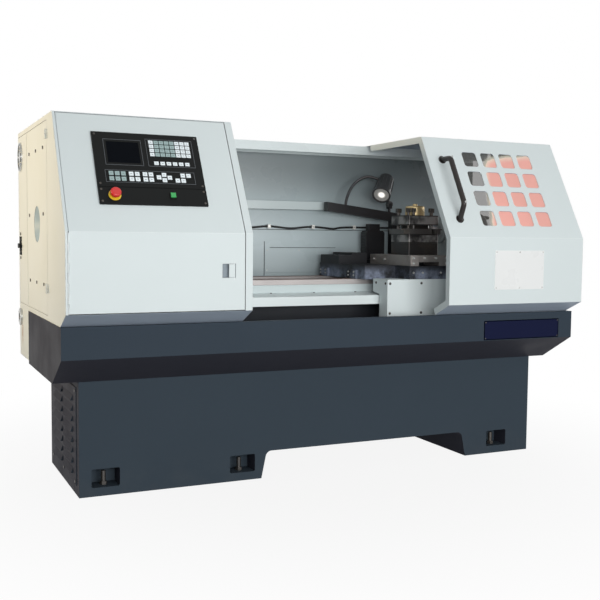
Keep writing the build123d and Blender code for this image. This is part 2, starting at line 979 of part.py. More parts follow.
bulkhead = prism_x(hood_path + [(cabinet_front, tray_rim)], hood_x1 - sheet, hood_x1)
bulkhead_x = (hood_x1 - sheet - cut_over, hood_x1 + cut_over)
bulkhead -= rod_x(spindle_y, spindle_height, bulkhead_hole, *bulkhead_x)
gap_y0 = cover_path[1][0] - bulkhead_bed_gap
gap_y1 = bed_y1 + bulkhead_bed_gap
bulkhead -= block(*bulkhead_x, gap_y0, gap_y1, tray_rim - cut_over, way_top + bulkhead_bed_gap)
hood += bulkhead


def hinge(z, side):
    """Half hinge on the end wall: a leaf with an upper or lower knuckle."""
    half = hinge_length / 2
    knuckle_z = (z, z + half) if side < 0 else (z - half, z - slide_gap)
    knuckle = rod_z(hood_x0 - hinge_radius, end_hinge_y, hinge_radius, *knuckle_z)
    leaf_y = sorted((end_hinge_y, end_hinge_y + side * hinge_leaf))
    leaf = block(hood_x0 - sheet, hood_x0, *leaf_y, z - half, z + half)
    clear_z = (z - half - cut_over, z) if side < 0 else (z - slide_gap, z + half + cut_over)
    clear_y = sorted((end_hinge_y - side * hinge_radius, end_hinge_y + side * (hinge_radius + seam_gap)))
    clear = block(hood_x0 - hinge_radius, hood_x0 + cut_over, *clear_y, *clear_z)
    return knuckle + (leaf - clear)


for z in hinge_places:
    hood += hinge(z, -1)
front_hinge_x = front_x0 + seam_gap / 2
knuckle_pitch = (hood_kink - hood_front_bottom - 2 * seam_gap) / front_hinge_knuckles
knuckle_ends = [
    hood_front_bottom + seam_gap + place * knuckle_pitch for place in range(front_hinge_knuckles)
]
knuckles = [(low, low + knuckle_pitch - slide_gap) for low in knuckle_ends]
hood_knuckles = knuckles[0::2]
door_knuckles = knuckles[1::2]
for low, high in hood_knuckles:
    hood += rod_z(front_hinge_x, hood_y, front_hinge_radius, low, high)
for low, high in door_knuckles:
    hood -= rod_z(front_hinge_x, hood_y, front_hinge_radius + slide_gap, low - slide_gap, high + slide_gap)
parts["hood_shell"] = hood

# Electrical cabinet behind the headstock
cabinet_x0 = hood_x0 + cabinet_left_inset
cabinet = block(cabinet_x0, hood_x1, cabinet_front, hatch_y, cabinet_bottom, machine_height)
cabinet -= block(
    cabinet_x0 + sheet,
    hood_x1 - sheet,
    cabinet_front + sheet,
    hatch_y - sheet,
    cabinet_bottom + sheet,
    machine_height - sheet,
)
skin_x = (hood_x0 + sheet, cabinet_x0)
cabinet += block(*skin_x, hatch_y - sheet, hatch_y, cabinet_bottom, machine_height)
cabinet += block(*skin_x, cabinet_front, hatch_y, machine_height - sheet, machine_height)
cabinet += block(*skin_x, cabinet_front, hatch_y, cabinet_bottom, cabinet_bottom + sheet)
cabinet += block(*hatch_x, hatch_y, hatch_face, *hatch_z)
hatch_frame = Pos((hatch_x[0] + hatch_x[1]) / 2, hatch_face, hatch_z[0] + hatch_rise) * Rot(0, 0, -90)
hatch_column = (hatch_x[1] - hatch_x[0]) * louvre_field_share / hatch_columns
parts["electrical_cabinet"] = add_louvres(
    cabinet, hatch_frame, hatch_columns, hatch_rows, hatch_column, hatch_pitch
)

# Mains cable inlet on the left end
inlet = rod_x(inlet_y, inlet_height, inlet_radius, hood_x0 - inlet_proud, hood_x0)
inlet += rod_x(inlet_y, inlet_height, inlet_bush, hood_x0, hood_x0 + sheet)
inlet -= rod_x(inlet_y, inlet_height, inlet_bush - sheet, hood_x0 - inlet_proud - cut_over, hood_x0 - sheet)
parts["cable_gland"] = inlet

# Front access door with cut-outs for the panel and the latch
door_points = [
    step_to(hood_path[1], hood_path[2], seam_gap),
    hood_path[2],
    step_to(hood_path[3], hood_path[2], seam_gap + sheet),
]
front = band(door_points, sheet, front_x0 + seam_gap, front_x1 - seam_gap)
box_x = (panel_left + panel_box_margin, panel_left + panel_length - panel_box_margin)
box_s = (panel_low + panel_box_margin, panel_high - panel_box_margin)
front -= hood_slope * block(
    box_x[0] - slide_gap,
    box_x[1] + slide_gap,
    box_s[0] - slide_gap,
    box_s[1] + slide_gap,
    -sheet - cut_over,
    cut_over,
)
latch_x1 = front_x1 - latch_right_inset
latch_x0 = latch_x1 - latch_length
latch_z1 = latch_low + latch_height
cup = block(
    latch_x0 - latch_wall,
    latch_x1 + latch_wall,
    hood_y,
    hood_y + latch_depth + latch_wall,
    latch_low - latch_wall,
    latch_z1 + latch_wall,
)
cup -= block(latch_x0, latch_x1, hood_y - cut_over, hood_y + latch_depth, latch_low, latch_z1)
front -= block(latch_x0, latch_x1, hood_y - cut_over, hood_y + sheet + cut_over, latch_low, latch_z1)
pin_x = latch_x1 - latch_pin_radius - paddle_gap
pin_y = hood_y + latch_pin_radius + paddle_gap
pin_z = (latch_low - latch_wall, latch_z1 + latch_wall)
front += cup
front -= rod_z(pin_x, pin_y, latch_pin_radius + shaft_gap, pin_z[0] - cut_over, pin_z[1] + cut_over)
for low, high in door_knuckles:
    front += rod_z(front_hinge_x, hood_y, front_hinge_radius, low, high)
for low, high in hood_knuckles:
    front -= rod_z(front_hinge_x, hood_y, front_hinge_radius + slide_gap, low - slide_gap, high + slide_gap)
parts["front_door"] = front

# Latch paddle in the right half of the recess
paddle_x0 = latch_x1 - latch_length * paddle_share
paddle_z = (latch_low + paddle_gap, latch_z1 - paddle_gap)
paddle = block(
    paddle_x0, pin_x, pin_y - latch_pin_radius, pin_y - latch_pin_radius + paddle_thickness, *paddle_z
)
parts["latch_paddle"] = paddle + rod_z(pin_x, pin_y, latch_pin_radius, *pin_z)

# Control panel: bezel with box behind, screen, keys and the lower strip
panel_x1 = panel_left + panel_length
panel = block(panel_left, panel_x1, panel_low, panel_high, 0, panel_proud)
panel += block(*box_x, *box_s, -panel_box_depth, 0)
groove_z = (panel_proud - panel_groove_depth, panel_proud + cut_over)
panel -= block(
    panel_left - cut_over, panel_x1 + cut_over, panel_split, panel_split + panel_groove, *groove_z
)
screen_x0 = panel_left + screen_left
screen_x1 = screen_x0 + screen_length
panel -= block(
    screen_x0, screen_x1, screen_low, screen_high, panel_proud - screen_depth, panel_proud + cut_over
)
stop_frame = Pos(panel_left + stop_along, stop_up, panel_proud)
start_frame = Pos(panel_left + start_along, start_up, panel_proud)
stop_well = stop_travel + button_gap
panel -= stop_frame * rod_z(0, 0, stop_stem_radius + button_gap, -stop_well, cut_over)
start_half = start_size / 2
start_clear = start_half + button_gap
panel += start_frame * (
    block(
        -start_clear - start_bezel,
        start_clear + start_bezel,
        -start_clear - start_bezel,
        start_clear + start_bezel,
        0,
        start_bezel,
    )
)
panel -= start_frame * block(
    -start_clear, start_clear, -start_clear, start_clear, -stop_well, start_bezel + cut_over
)
parts["control_panel"] = hood_slope * panel
screen_z = (panel_proud - screen_depth, panel_proud - screen_depth + screen_glass)
parts["control_screen"] = hood_slope * block(screen_x0, screen_x1, screen_low, screen_high, *screen_z)
key_z = (panel_proud, panel_proud + key_proud)
keys = []
for column in range(keypad_column_count):
    for row in range(keypad_row_count):
        x = panel_left + keypad_left + column * keypad_pitch
        s = keypad_low + row * keypad_rise
        keys.append(block(x, x + key_length, s, s + key_height, *key_z))
for place in range(edit_key_count):
    x = panel_left + edit_key_left + place * edit_key_pitch
    keys.append(block(x, x + key_length, edit_key_low, edit_key_low + key_height, *key_z))
deck_groups = [
    [(column, row) for column in range(columns) for row in range(deck_row_count)]
    for columns in deck_group_counts
]
group_x = panel_left + deck_left
for group in (*deck_groups, jog_shares, cycle_shares):
    for along_share, up_share in group:
        x = group_x + along_share * deck_pitch
        s = deck_low + up_share * deck_rise
        keys.append(block(x, x + deck_size, s, s + deck_size, *key_z))
    group_x += (group[-1][0] + 1 + deck_gap_share) * deck_pitch
parts["control_keys"] = hood_slope * (Part() + keys)

# Stop button on its ring, and the start button
ring = rod_z(0, 0, stop_ring_radius, 0, stop_ring_height)
ring -= rod_z(0, 0, stop_stem_radius + button_gap, -cut_over, cut_over)
parts["e_stop_ring"] = hood_slope * stop_frame * ring
stop_button = rod_z(0, 0, stop_stem_radius, 0, stop_stem_height)
stop_cap = rod_z(0, 0, stop_cap_radius, stop_stem_height, stop_stem_height + stop_cap_height)
stop_cap = fillet(stop_cap.edges().group_by(Axis.Z)[-1], stop_cap_height / 2)
parts["e_stop_button"] = hood_slope * stop_frame * (stop_button + stop_cap)
start_button = block(-start_half, start_half, -start_half, start_half, 0, start_height)
parts["start_button"] = hood_slope * start_frame * start_button

# End door: sheet with port and vent, ribs behind the screws, hinges
end_door = block(hood_x0, hood_x0 + sheet, door_y0, end_door_back, end_door_low, door_z1)
rib_y = (end_screw_front - end_rib_overhang, end_screw_back + end_rib_overhang)
for z in end_screw_heights:
    half = end_rib_height / 2
    end_door += block(hood_x0 + sheet, hood_x0 + sheet + end_rib_depth, *rib_y, z - half, z + half)
end_door -= rod_x(
    spindle_y, spindle_height, port_radius, hood_x0 - cut_over, hood_x0 + end_rib_depth + cut_over
)
end_door -= rod_x(vent_y, vent_height, vent_radius - vent_rim, *wall_x)
for z in hinge_places:
    end_door += hinge(z, 1)
parts["end_door"] = end_door

# Round vent grille in the end door
vent_x = (hood_x0 - vent_depth, hood_x0)
vent_ring = rod_x(vent_y, vent_height, vent_radius, *vent_x)
vent_ring -= rod_x(vent_y, vent_height, vent_radius - vent_rim, vent_x[0] - cut_over, vent_x[1] + cut_over)
vent_ring += rod_x(vent_y, vent_height, vent_hub, *vent_x)
spoke_reach = vent_radius - vent_rim / 2
half = vent_spoke / 2
vent_ring += block(
    *vent_x, vent_y - spoke_reach, vent_y + spoke_reach, vent_height - half, vent_height + half
)
vent_ring += block(
    *vent_x, vent_y - half, vent_y + half, vent_height - spoke_reach, vent_height + spoke_reach
)
parts["end_vent"] = vent_ring

# Lock plate with its lever, and the screws of the end door
lock_half = lock_plate_length / 2
lock_rise = lock_plate_height / 2
parts["lock_plate"] = block(
    hood_x0 - lock_plate_thickness,
    hood_x0,
    lock_y - lock_half,
    lock_y + lock_half,
    lock_height - lock_rise,
    lock_height + lock_rise,
)
lever_x = (hood_x0 - lock_proud, hood_x0 - lock_plate_thickness - slide_gap)
lock_handle = rod_x(lock_y, lock_height, lock_boss_radius, *lever_x)
half = lock_lever_width / 2
lock_handle += block(*lever_x, lock_y - lock_lever_length, lock_y, lock_height - half, lock_height + half)
parts["lock_handle"] = lock_handle
end_middle = (end_screw_front + end_screw_back) / 2
end_places = [(y, z) for z in end_screw_heights for y in (end_screw_front, end_screw_back)]
end_places += [(end_middle, end_screw_heights[0]), (end_middle, end_screw_heights[-1])]
end_places += [(lock_y, lock_height + lock_rivet_rise), (lock_y, lock_height - lock_rivet_rise)]
end_heads = [rod_x(y, z, end_screw_radius, hood_x0 - end_screw_proud, hood_x0) for y, z in end_places]
parts["end_door_screws"] = Part() + end_heads

# Rear guard with its channel and access plate
guard = band(guard_path, sheet, hood_x1, guard_x1)
channel_z = (channel_top - channel_height, channel_top)
channel = block(hood_x1, channel_right, guard_face - channel_depth, guard_face, *channel_z)
guard += channel
guard += block(
    access_left, access_right, guard_face - access_thickness, guard_face, access_low, access_high
)
parts["rear_guard"] = guard

# Cable along the guard, held by clips all the way to its entry
cable_start = (hood_x1, cable_y, cable_height)
cable_corner = (cable_right, cable_y, cable_height)
cable_end = (cable_right, guard_face, cable_height)
clip_places = [hood_x1 + (cable_right - hood_x1) * share for share in clip_shares]
cable_points = [cable_start]
for x in clip_places:
    held = (x + clip_length / 2, cable_y, cable_height)
    cable_points.append(((cable_points[-1][0] + held[0]) / 2, cable_y, cable_height - cable_sag))
    cable_points.append(held)
cable_run = Spline(*cable_points, tangents=[(1, 0, 0), (1, 0, 0)])
cable_turn = FilletPolyline(cable_points[-1], cable_corner, cable_end, radius=cable_bend)
cable_path = Curve() + [cable_run, cable_turn]
cable_section = Plane(origin=cable_start, z_dir=(1, 0, 0)) * Circle(cable_radius)
parts["guard_cable"] = sweep(cable_section, path=cable_path)
clips = []
for x in clip_places:
    half = clip_height / 2
    clip = block(
        x, x + clip_length, guard_face - clip_depth, guard_face, cable_height - half, cable_height + half
    )
    clips.append(
        clip
        - rod_x(cable_y, cable_height, cable_radius + screw_gap, x - cut_over, x + clip_length + cut_over)
    )
parts["cable_clips"] = Part() + clips

# Saddle on the ways, with guide, rear blocks, wipers and the nut bracket
saddle_low = way_top + slide_gap
saddle = block(saddle_left, saddle_x1, saddle_front, saddle_back, saddle_low, saddle_top)
guide_top = saddle_top + guide_height
saddle += block(guide_left, guide_left + guide_width, saddle_front, x_motor_front, saddle_top, guide_top)
wing_y = (wing_front, saddle_back - wing_back_inset)
saddle += block(saddle_left + wing_step, wing_right, *wing_y, saddle_top, wing_top)
saddle += block(saddle_left, saddle_left + wing_step, *wing_y, saddle_top, wing_top - wing_step_drop)
x_motor_back = x_motor_front + x_motor_depth
saddle += block(x_motor_left, x_motor_left + motor_side, x_motor_front, x_motor_back, saddle_top, wing_top)
for x in (saddle_left - wiper_length, saddle_x1):
    for y in (bed_y0, bed_y1 - way_width):
        saddle += block(x, x + wiper_length, y, y + way_width, saddle_low, saddle_low + wiper_height)
saddle += block(lip_left, lip_right, lip_front, saddle_front, apron_top, saddle_top)
bracket_x1 = bracket_left + bracket_length
bracket_y0 = cover_path[1][0] - nut_low_gap - bracket_wall
bracket_z1 = cover_path[2][1] - nut_low_gap
saddle += block(
    bracket_left, bracket_x1, bracket_y0, bracket_y0 + bracket_wall, bracket_z1 - bracket_wall, apron_top
)
saddle += block(
    bracket_left, bracket_x1, bracket_y0, screw_y + nut_radius, bracket_z1 - bracket_wall, bracket_z1
)
nut = rod_x(screw_y, screw_height, nut_radius, bracket_left, bracket_x1)
nut_half = nut_radius / 2
nut += block(bracket_left, bracket_x1, screw_y - nut_half, screw_y + nut_half, bracket_z1, screw_height)
nut -= block(
    bracket_left - cut_over,
    bracket_x1 + cut_over,
    screw_y - nut_radius - cut_over,
    screw_y + nut_radius + cut_over,
    cover_top - sheet - slide_gap,
    screw_height + nut_radius + cut_over,
)
saddle += nut - rod_x(
    screw_y, screw_height, screw_radius + shaft_gap, bracket_left - cut_over, bracket_x1 + cut_over
)
parts["saddle"] = saddle

# Apron cover, cut out where the screw cover runs through
apron_x1 = apron_left + apron_length
apron = block(apron_left, apron_x1, apron_front, apron_back, apron_bottom, apron_top)
apron -= block(
    apron_left + apron_wall,
    apron_x1 - apron_wall,
    apron_front + apron_wall,
    apron_back + cut_over,
    apron_bottom - cut_over,
    apron_top - apron_wall,
)
apron -= block(
    bracket_left - slide_gap,
    bracket_x1 + slide_gap,
    bracket_y0 - slide_gap,
    bracket_y0 + bracket_wall + slide_gap,
    apron_top - apron_wall - cut_over,
    apron_top + cut_over,
)
cover_gone = offset_path(cover_path, apron_cover_gap)
tunnel = cover_gone[:2] + [
    (cover_gone[1][0], apron_bottom - cut_over),
    (apron_back + cut_over, apron_bottom - cut_over),
    (apron_back + cut_over, cover_gone[0][1]),
]
apron -= prism_x(tunnel[1:], apron_left - cut_over, apron_x1 + cut_over)
parts["apron_cover"] = apron

# Cross motor on the rear block
plug_x = x_motor_left + (motor_side - x_motor_plug) / 2
x_motor = block(
    x_motor_left, x_motor_left + motor_side, x_motor_front,
    x_motor_back, wing_top, wing_top + x_motor_height
)
x_motor = chamfer(x_motor.edges().filter_by(Axis.Y).group_by(Axis.Z)[-1], x_motor_chamfer)
x_motor += block(
    plug_x,
    plug_x + x_motor_plug,
    x_motor_front + x_motor_chamfer,
    x_motor_back - x_motor_chamfer,
    wing_top + x_motor_height,
    wing_top + x_motor_height + x_motor_plug_height,
)
parts["x_motor"] = x_motor

# Cross slide riding on the guide
cross_back = cross_front + cross_length
cross = block(
    cross_left, cross_left + cross_width, cross_front, cross_back, saddle_top + slide_gap, cross_top
)
cross -= block(
    guide_left - slide_gap,
    guide_left + guide_width + slide_gap,
    cross_front - cut_over,
    cross_back + cut_over,
    saddle_top,
    guide_top + slide_gap,
)
parts["cross_slide"] = cross

# Four-way turret: base, head with open slots, clamp bolts, tools and cap
turret = Pos(turret_x, turret_y, 0)
turret_half = turret_side / 2


def turret_plate(half, z0, z1):
    plate = block(-half, half, -half, half, z0, z1)
    return fillet(plate.edges().filter_by(Axis.Z), turret_edge)


parts["turret_base"] = turret * turret_plate(turret_half, cross_top, turret_base_top)
slot_top = turret_low_top + turret_slot_height
head_low = turret_base_top + slide_gap
head = turret_plate(turret_half, head_low, turret_low_top)
head += turret_plate(turret_half - turret_slot_depth, turret_low_top, slot_top)
head += turret_plate(turret_half, slot_top, turret_top)
tool_top = turret_low_top + tool_side
clamps = []
tools = []
for side in range(side_count):
    turn = Rot(0, 0, side * 360 / side_count)
    for along in (-clamp_half_pitch, clamp_half_pitch):
        spot = turn * Pos(clamp_inset - turret_half, along, 0)
        head -= spot * rod_z(0, 0, clamp_radius + screw_gap, slot_top - cut_over, turret_top + cut_over)
        clamps.append(spot * rod_z(0, 0, clamp_radius, tool_top, turret_top + clamp_rise))
        half = clamp_head / 2
        head_z = (turret_top + clamp_rise - clamp_head_height, turret_top + clamp_rise)
        clamps.append(spot * block(-half, half, -half, half, *head_z))
    tool_x = (tool_inset - turret_half, tool_inset - turret_half + tool_side)
    tool_y = (tool_tail - turret_half, turret_half + tool_reach)
    tool = block(*tool_x, *tool_y, turret_low_top, tool_top)
    tool -= block(
        *tool_x,
        tool_y[1] - tip_length,
        tool_y[1] + cut_over,
        turret_low_top - cut_over,
        tool_top - tip_height,
    )
    tools.append(turn * tool)
parts["turret_head"] = turret * head
parts["clamp_bolts"] = turret * (Part() + clamps)
parts["cutting_tools"] = turret * (Part() + tools)
cap = rod_z(0, 0, cap_radius, turret_top, turret_top + cap_height)
parts["turret_cap"] = turret * fillet(cap.edges().group_by(Axis.Z)[-1], cap_edge)

# Lamp arm on its post, with the fork of the lamp
arm_fall = (arm_left_top - arm_right_top) / (arm_right - arm_left)


def arm_top(x):
    return arm_left_top - (x - arm_left) * arm_fall


arm_back = arm_front + arm_depth
arm_middle = (arm_front + arm_back) / 2
arm_outline = [
    (arm_left, arm_left_top),
    (arm_right, arm_right_top),
    (arm_right, arm_right_top - arm_height),
    (arm_left, arm_left_top - arm_height),
]
arm = prism_y(arm_outline, arm_front, arm_back)
post_x0 = arm_right - post_length
post_outline = [
    (post_x0, saddle_top),
    (arm_right, saddle_top),
    (arm_right, arm_right_top - arm_height),
    (post_x0, arm_top(post_x0) - arm_height),
]
arm += prism_y(post_outline, arm_front, arm_back)
arm += rod_z(stem_x, arm_middle, stem_radius, arm_top(stem_x) - arm_height / 2, stem_top - knuckle_radius)
fork_half = knuckle_depth / 2 + fork_gap + fork_wall
fork_low = stem_top - knuckle_radius - fork_gap - fork_wall
fork = block(
    stem_x - stem_radius,
    stem_x + stem_radius,
    arm_middle - fork_half,
    arm_middle + fork_half,
    fork_low,
    stem_top,
)
fork += rod_y(stem_x, stem_top, stem_radius, arm_middle - fork_half, arm_middle + fork_half)
fork_gone = knuckle_depth / 2 + fork_gap
fork -= rod_y(stem_x, stem_top, knuckle_radius + fork_gap, arm_middle - fork_gone, arm_middle + fork_gone)
arm += fork
parts["lamp_arm"] = arm

# Lamp head on its knuckle, looking down to the front, with the lens
lamp_face = Vector(lamp_face_x, arm_middle - lamp_face_front, lamp_face_height)
lamp_back = Vector(lamp_back_x, arm_middle, lamp_back_height)
lamp_axis = lamp_back - lamp_face
lamp_frame = Plane(origin=lamp_face, z_dir=lamp_axis).location
lamp = Pos(0, 0, lamp_axis.length / 2) * Cone(lamp_face_radius, lamp_back_radius, lamp_axis.length)
knuckle = Vector(stem_x, arm_middle, stem_top)
neck_run = lamp_face + lamp_axis * lamp_neck_share - knuckle
neck_frame = Plane(origin=knuckle, z_dir=neck_run).location
lamp_solid = lamp_frame * lamp + neck_frame * rod_z(0, 0, stem_radius, knuckle_radius / 2, neck_run.length)
lamp_solid -= lamp_frame * rod_z(0, 0, lens_radius, -cut_over, lens_depth)
lamp_solid += rod_y(
    stem_x, stem_top, knuckle_radius, arm_middle - knuckle_depth / 2, arm_middle + knuckle_depth / 2
)
parts["lamp_head"] = lamp_solid
parts["lamp_lens"] = lamp_frame * rod_z(0, 0, lens_radius, 0, lens_depth)

# Conduit from the arm to the back of the lamp
conduit_x = lamp_back_x - lamp_back_radius
conduit_run = conduit_x - conduit_foot_x
conduit_points = [
    (conduit_foot_x, arm_middle, arm_top(conduit_foot_x - conduit_radius)),
    (conduit_foot_x + conduit_run / 3, arm_middle, lamp_back_height - 2 * conduit_rise),
    (conduit_foot_x + conduit_run * 2 / 3, arm_middle, lamp_back_height + conduit_rise / 2),
    (conduit_x - conduit_end_gap, arm_middle, lamp_back_height),
]
conduit_path = Spline(*conduit_points, tangents=[(0, 0, 1), (1, 0, -sin(pi / 8))])
conduit_section = Plane(origin=conduit_points[0], z_dir=(0, 0, 1)) * Circle(conduit_radius)
parts["lamp_conduit"] = sweep(conduit_section, path=conduit_path)

# Tailstock: body with barrel, quill with centre, handwheel and clamp lever
tail_x1 = tail_left + tail_length
tail_low = way_top + slide_gap
tail = block(tail_left, tail_x1, bed_y0, bed_y1, tail_low, tail_low + tail_base_height)
tail += block(
    tail_left + tail_column_inset,
    tail_x1 - tail_column_inset,
    spindle_y - tail_column_half,
    spindle_y + tail_column_half,
    tail_low + tail_base_height,
    spindle_height,
)
tail += rod_x(spindle_y, spindle_height, barrel_radius, tail_left, tail_x1)
tail -= rod_x(
    spindle_y, spindle_height, quill_radius + shaft_gap, tail_left - cut_over, tail_x1 - quill_stop
)
tail -= rod_x(spindle_y, spindle_height, tail_screw_radius + shaft_gap, tail_left, tail_x1 + cut_over)
parts["tailstock_body"] = tail
quill_x0 = tail_left - quill_reach
quill = rod_x(spindle_y, spindle_height, quill_radius, quill_x0, tail_x1 - quill_stop - quill_stop)
quill += Pos(quill_x0 - centre_length / 2, spindle_y, spindle_height) * Rot(0, -90, 0) * Cone(
    quill_radius, 0, centre_length
)
quill -= rod_x(spindle_y, spindle_height, tail_screw_radius + slide_gap, tail_left, tail_x1)
parts["tailstock_quill"] = quill
wheel_x0 = tail_x1 + wheel_offset
wheel_x1 = wheel_x0 + 2 * wheel_rim
wheel = Pos((wheel_x0 + wheel_x1) / 2, spindle_y, spindle_height) * Rot(0, 90, 0) * Torus(
    wheel_radius - wheel_rim, wheel_rim
)
wheel += rod_x(spindle_y, spindle_height, wheel_hub, tail_x1 + slide_gap, wheel_x1)
web_x0 = (wheel_x0 + wheel_x1 - wheel_web) / 2
wheel += rod_x(spindle_y, spindle_height, wheel_radius - wheel_rim, web_x0, web_x0 + wheel_web)
wheel += rod_x(spindle_y, spindle_height, tail_screw_radius, tail_x1 - quill_stop, tail_x1 + slide_gap)
parts["tailstock_handwheel"] = wheel
lever_x0 = tail_left + tail_length * lever_share
lever_y = spindle_y - tail_column_half
lever_z = tail_low + tail_base_height + lever_boss_radius + lever_radius
lever = rod_y(lever_x0, lever_z, lever_boss_radius, lever_y - lever_boss_length, lever_y - slide_gap)
lever_mid = lever_y - lever_boss_length / 2 - lever_radius / 2
lever += rod_z(lever_x0, lever_mid, lever_radius, lever_z, lever_z + lever_length)
lever += Pos(lever_x0, lever_mid, lever_z + lever_length) * Sphere(lever_boss_radius)
parts["tailstock_lever"] = lever

# Sliding door: folded sheet with end flanges and a punched window grid
slider = band(door_path, sheet, door_left, door_x1)
flange_path = door_path[:-1] + [(door_flange_back, door_top)]
slider += band(flange_path, door_flange, door_left, door_left + sheet)
slider += band(flange_path, door_flange, door_x1 - sheet, door_x1)
for column in range(grid_count):
    for row in range(grid_count):
        x = grid_left + column * grid_pitch + grid_size / 2
        s = grid_low + row * grid_pitch + grid_size / 2
        slider -= door_slope * Pos(x, s, 0) * slotted_plate(
            grid_size, grid_size, grid_radius, sheet + cut_over
        )
parts["sliding_door"] = slider
grid_span = (grid_count - 1) * grid_pitch + grid_size
parts["window_pane"] = door_slope * block(
    grid_left - pane_margin,
    grid_left + grid_span + pane_margin,
    grid_low - pane_margin,
    grid_low + grid_span + pane_margin,
    -sheet - pane_thickness,
    -sheet,
)

# Tube handle on the door slope
handle_points = [
    (handle_along, handle_low, handle_foot_height),
    (handle_along, handle_low + handle_inset_low, handle_standoff),
    (handle_along, handle_high - handle_inset_high, handle_standoff),
    (handle_along, handle_high, handle_foot_height),
]
handle_path = FilletPolyline(*handle_points, radius=handle_bend)
handle_start = Plane(origin=handle_points[0], z_dir=handle_path % 0)
handle = sweep(handle_start * Circle(handle_radius), path=handle_path)
for s in (handle_low, handle_high):
    handle += Pos(handle_along, s, 0) * rod_z(0, 0, handle_foot_radius, 0, handle_foot_height)
    handle += Pos(handle_along, s, handle_foot_height) * Sphere(handle_radius)
handle -= block(
    handle_along - handle_standoff,
    handle_along + handle_standoff,
    handle_low - handle_standoff,
    handle_high + handle_standoff,
    -handle_standoff,
    0,
)
parts["door_handle"] = door_slope * handle

# Sign plate on the door front
sign_x0 = door_left + sign_left
sign_low = door_front_bottom + sign_rise
sign_x = (sign_x0, sign_x0 + sign_length)
parts["sign_plate"] = block(*sign_x, door_y - plate_thickness, door_y, sign_low, sign_low + sign_height)

for name, shape in parts.items():
    export_step(shape, f"parts/{name}.step")
print(len(parts), "sub-parts written")
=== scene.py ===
"""Looks of a flat-bed CNC turning lathe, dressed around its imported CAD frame."""

import logging
import math
from dataclasses import dataclass, field
from enum import Enum
from typing import Callable, Iterable, Sequence

import bmesh
import bpy
from mathutils import Matrix, Vector


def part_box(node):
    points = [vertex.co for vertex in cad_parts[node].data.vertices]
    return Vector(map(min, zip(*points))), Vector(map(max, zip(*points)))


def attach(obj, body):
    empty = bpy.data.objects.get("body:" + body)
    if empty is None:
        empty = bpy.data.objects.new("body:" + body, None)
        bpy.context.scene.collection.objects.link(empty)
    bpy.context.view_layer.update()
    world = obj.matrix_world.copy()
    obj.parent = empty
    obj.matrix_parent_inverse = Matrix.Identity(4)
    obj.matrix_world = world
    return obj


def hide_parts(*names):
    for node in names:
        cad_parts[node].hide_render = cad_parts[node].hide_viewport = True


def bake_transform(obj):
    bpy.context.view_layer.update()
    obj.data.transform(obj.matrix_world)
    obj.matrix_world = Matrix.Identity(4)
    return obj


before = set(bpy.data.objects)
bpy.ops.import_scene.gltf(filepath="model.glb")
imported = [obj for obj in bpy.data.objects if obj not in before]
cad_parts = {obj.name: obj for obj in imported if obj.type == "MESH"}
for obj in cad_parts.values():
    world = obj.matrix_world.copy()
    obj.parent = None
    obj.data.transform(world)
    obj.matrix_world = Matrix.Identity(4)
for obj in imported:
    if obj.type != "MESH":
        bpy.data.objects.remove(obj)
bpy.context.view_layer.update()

LOG = logging.getLogger("lathe")

Colour = tuple[float, float, float]
Point = tuple[float, float, float]
Profile = Sequence[tuple[float, float]]
Socket = bpy.types.NodeSocket


class Body(Enum):
    """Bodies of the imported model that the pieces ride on."""

    FRAME = "frame"
    FRONT_DOOR = "front_door"
    END_DOOR = "end_door"
    STOP = "e_stop"
    SPINDLE = "spindle"
    CARRIAGE = "carriage"
    LAMP = "lamp"
    CROSS = "cross_slide"
    TURRET = "turret"
    TAILSTOCK = "tailstock"
    HANDWHEEL = "handwheel"
    SLIDING_DOOR = "sliding_door"


class Effect(Enum):
    """Shader node groups that several finishes share."""

    PAINT_FILM = "paint_film"
    EDGE_WEAR = "edge_wear"
    METAL_GRAIN = "metal_grain"
    SHOP_GRIME = "shop_grime"


class Head(Enum):
    """Fastener heads, as turned profiles of (radius, height) in shares of the head's radius."""

    SOCKET = ((0.0, 0.35), (0.5, 0.35), (0.52, 0.82), (0.88, 0.86), (1.0, 0.72), (1.0, 0.0))
    PAN = ((0.0, 0.56), (0.42, 0.53), (0.78, 0.38), (0.96, 0.18), (1.0, 0.0))
    RIVET = ((0.0, 0.46), (0.5, 0.4), (0.86, 0.2), (1.0, 0.0))
    FLAT = ((0.0, 0.12), (0.3, 0.12), (0.32, 0.26), (0.9, 0.24), (1.0, 0.0))


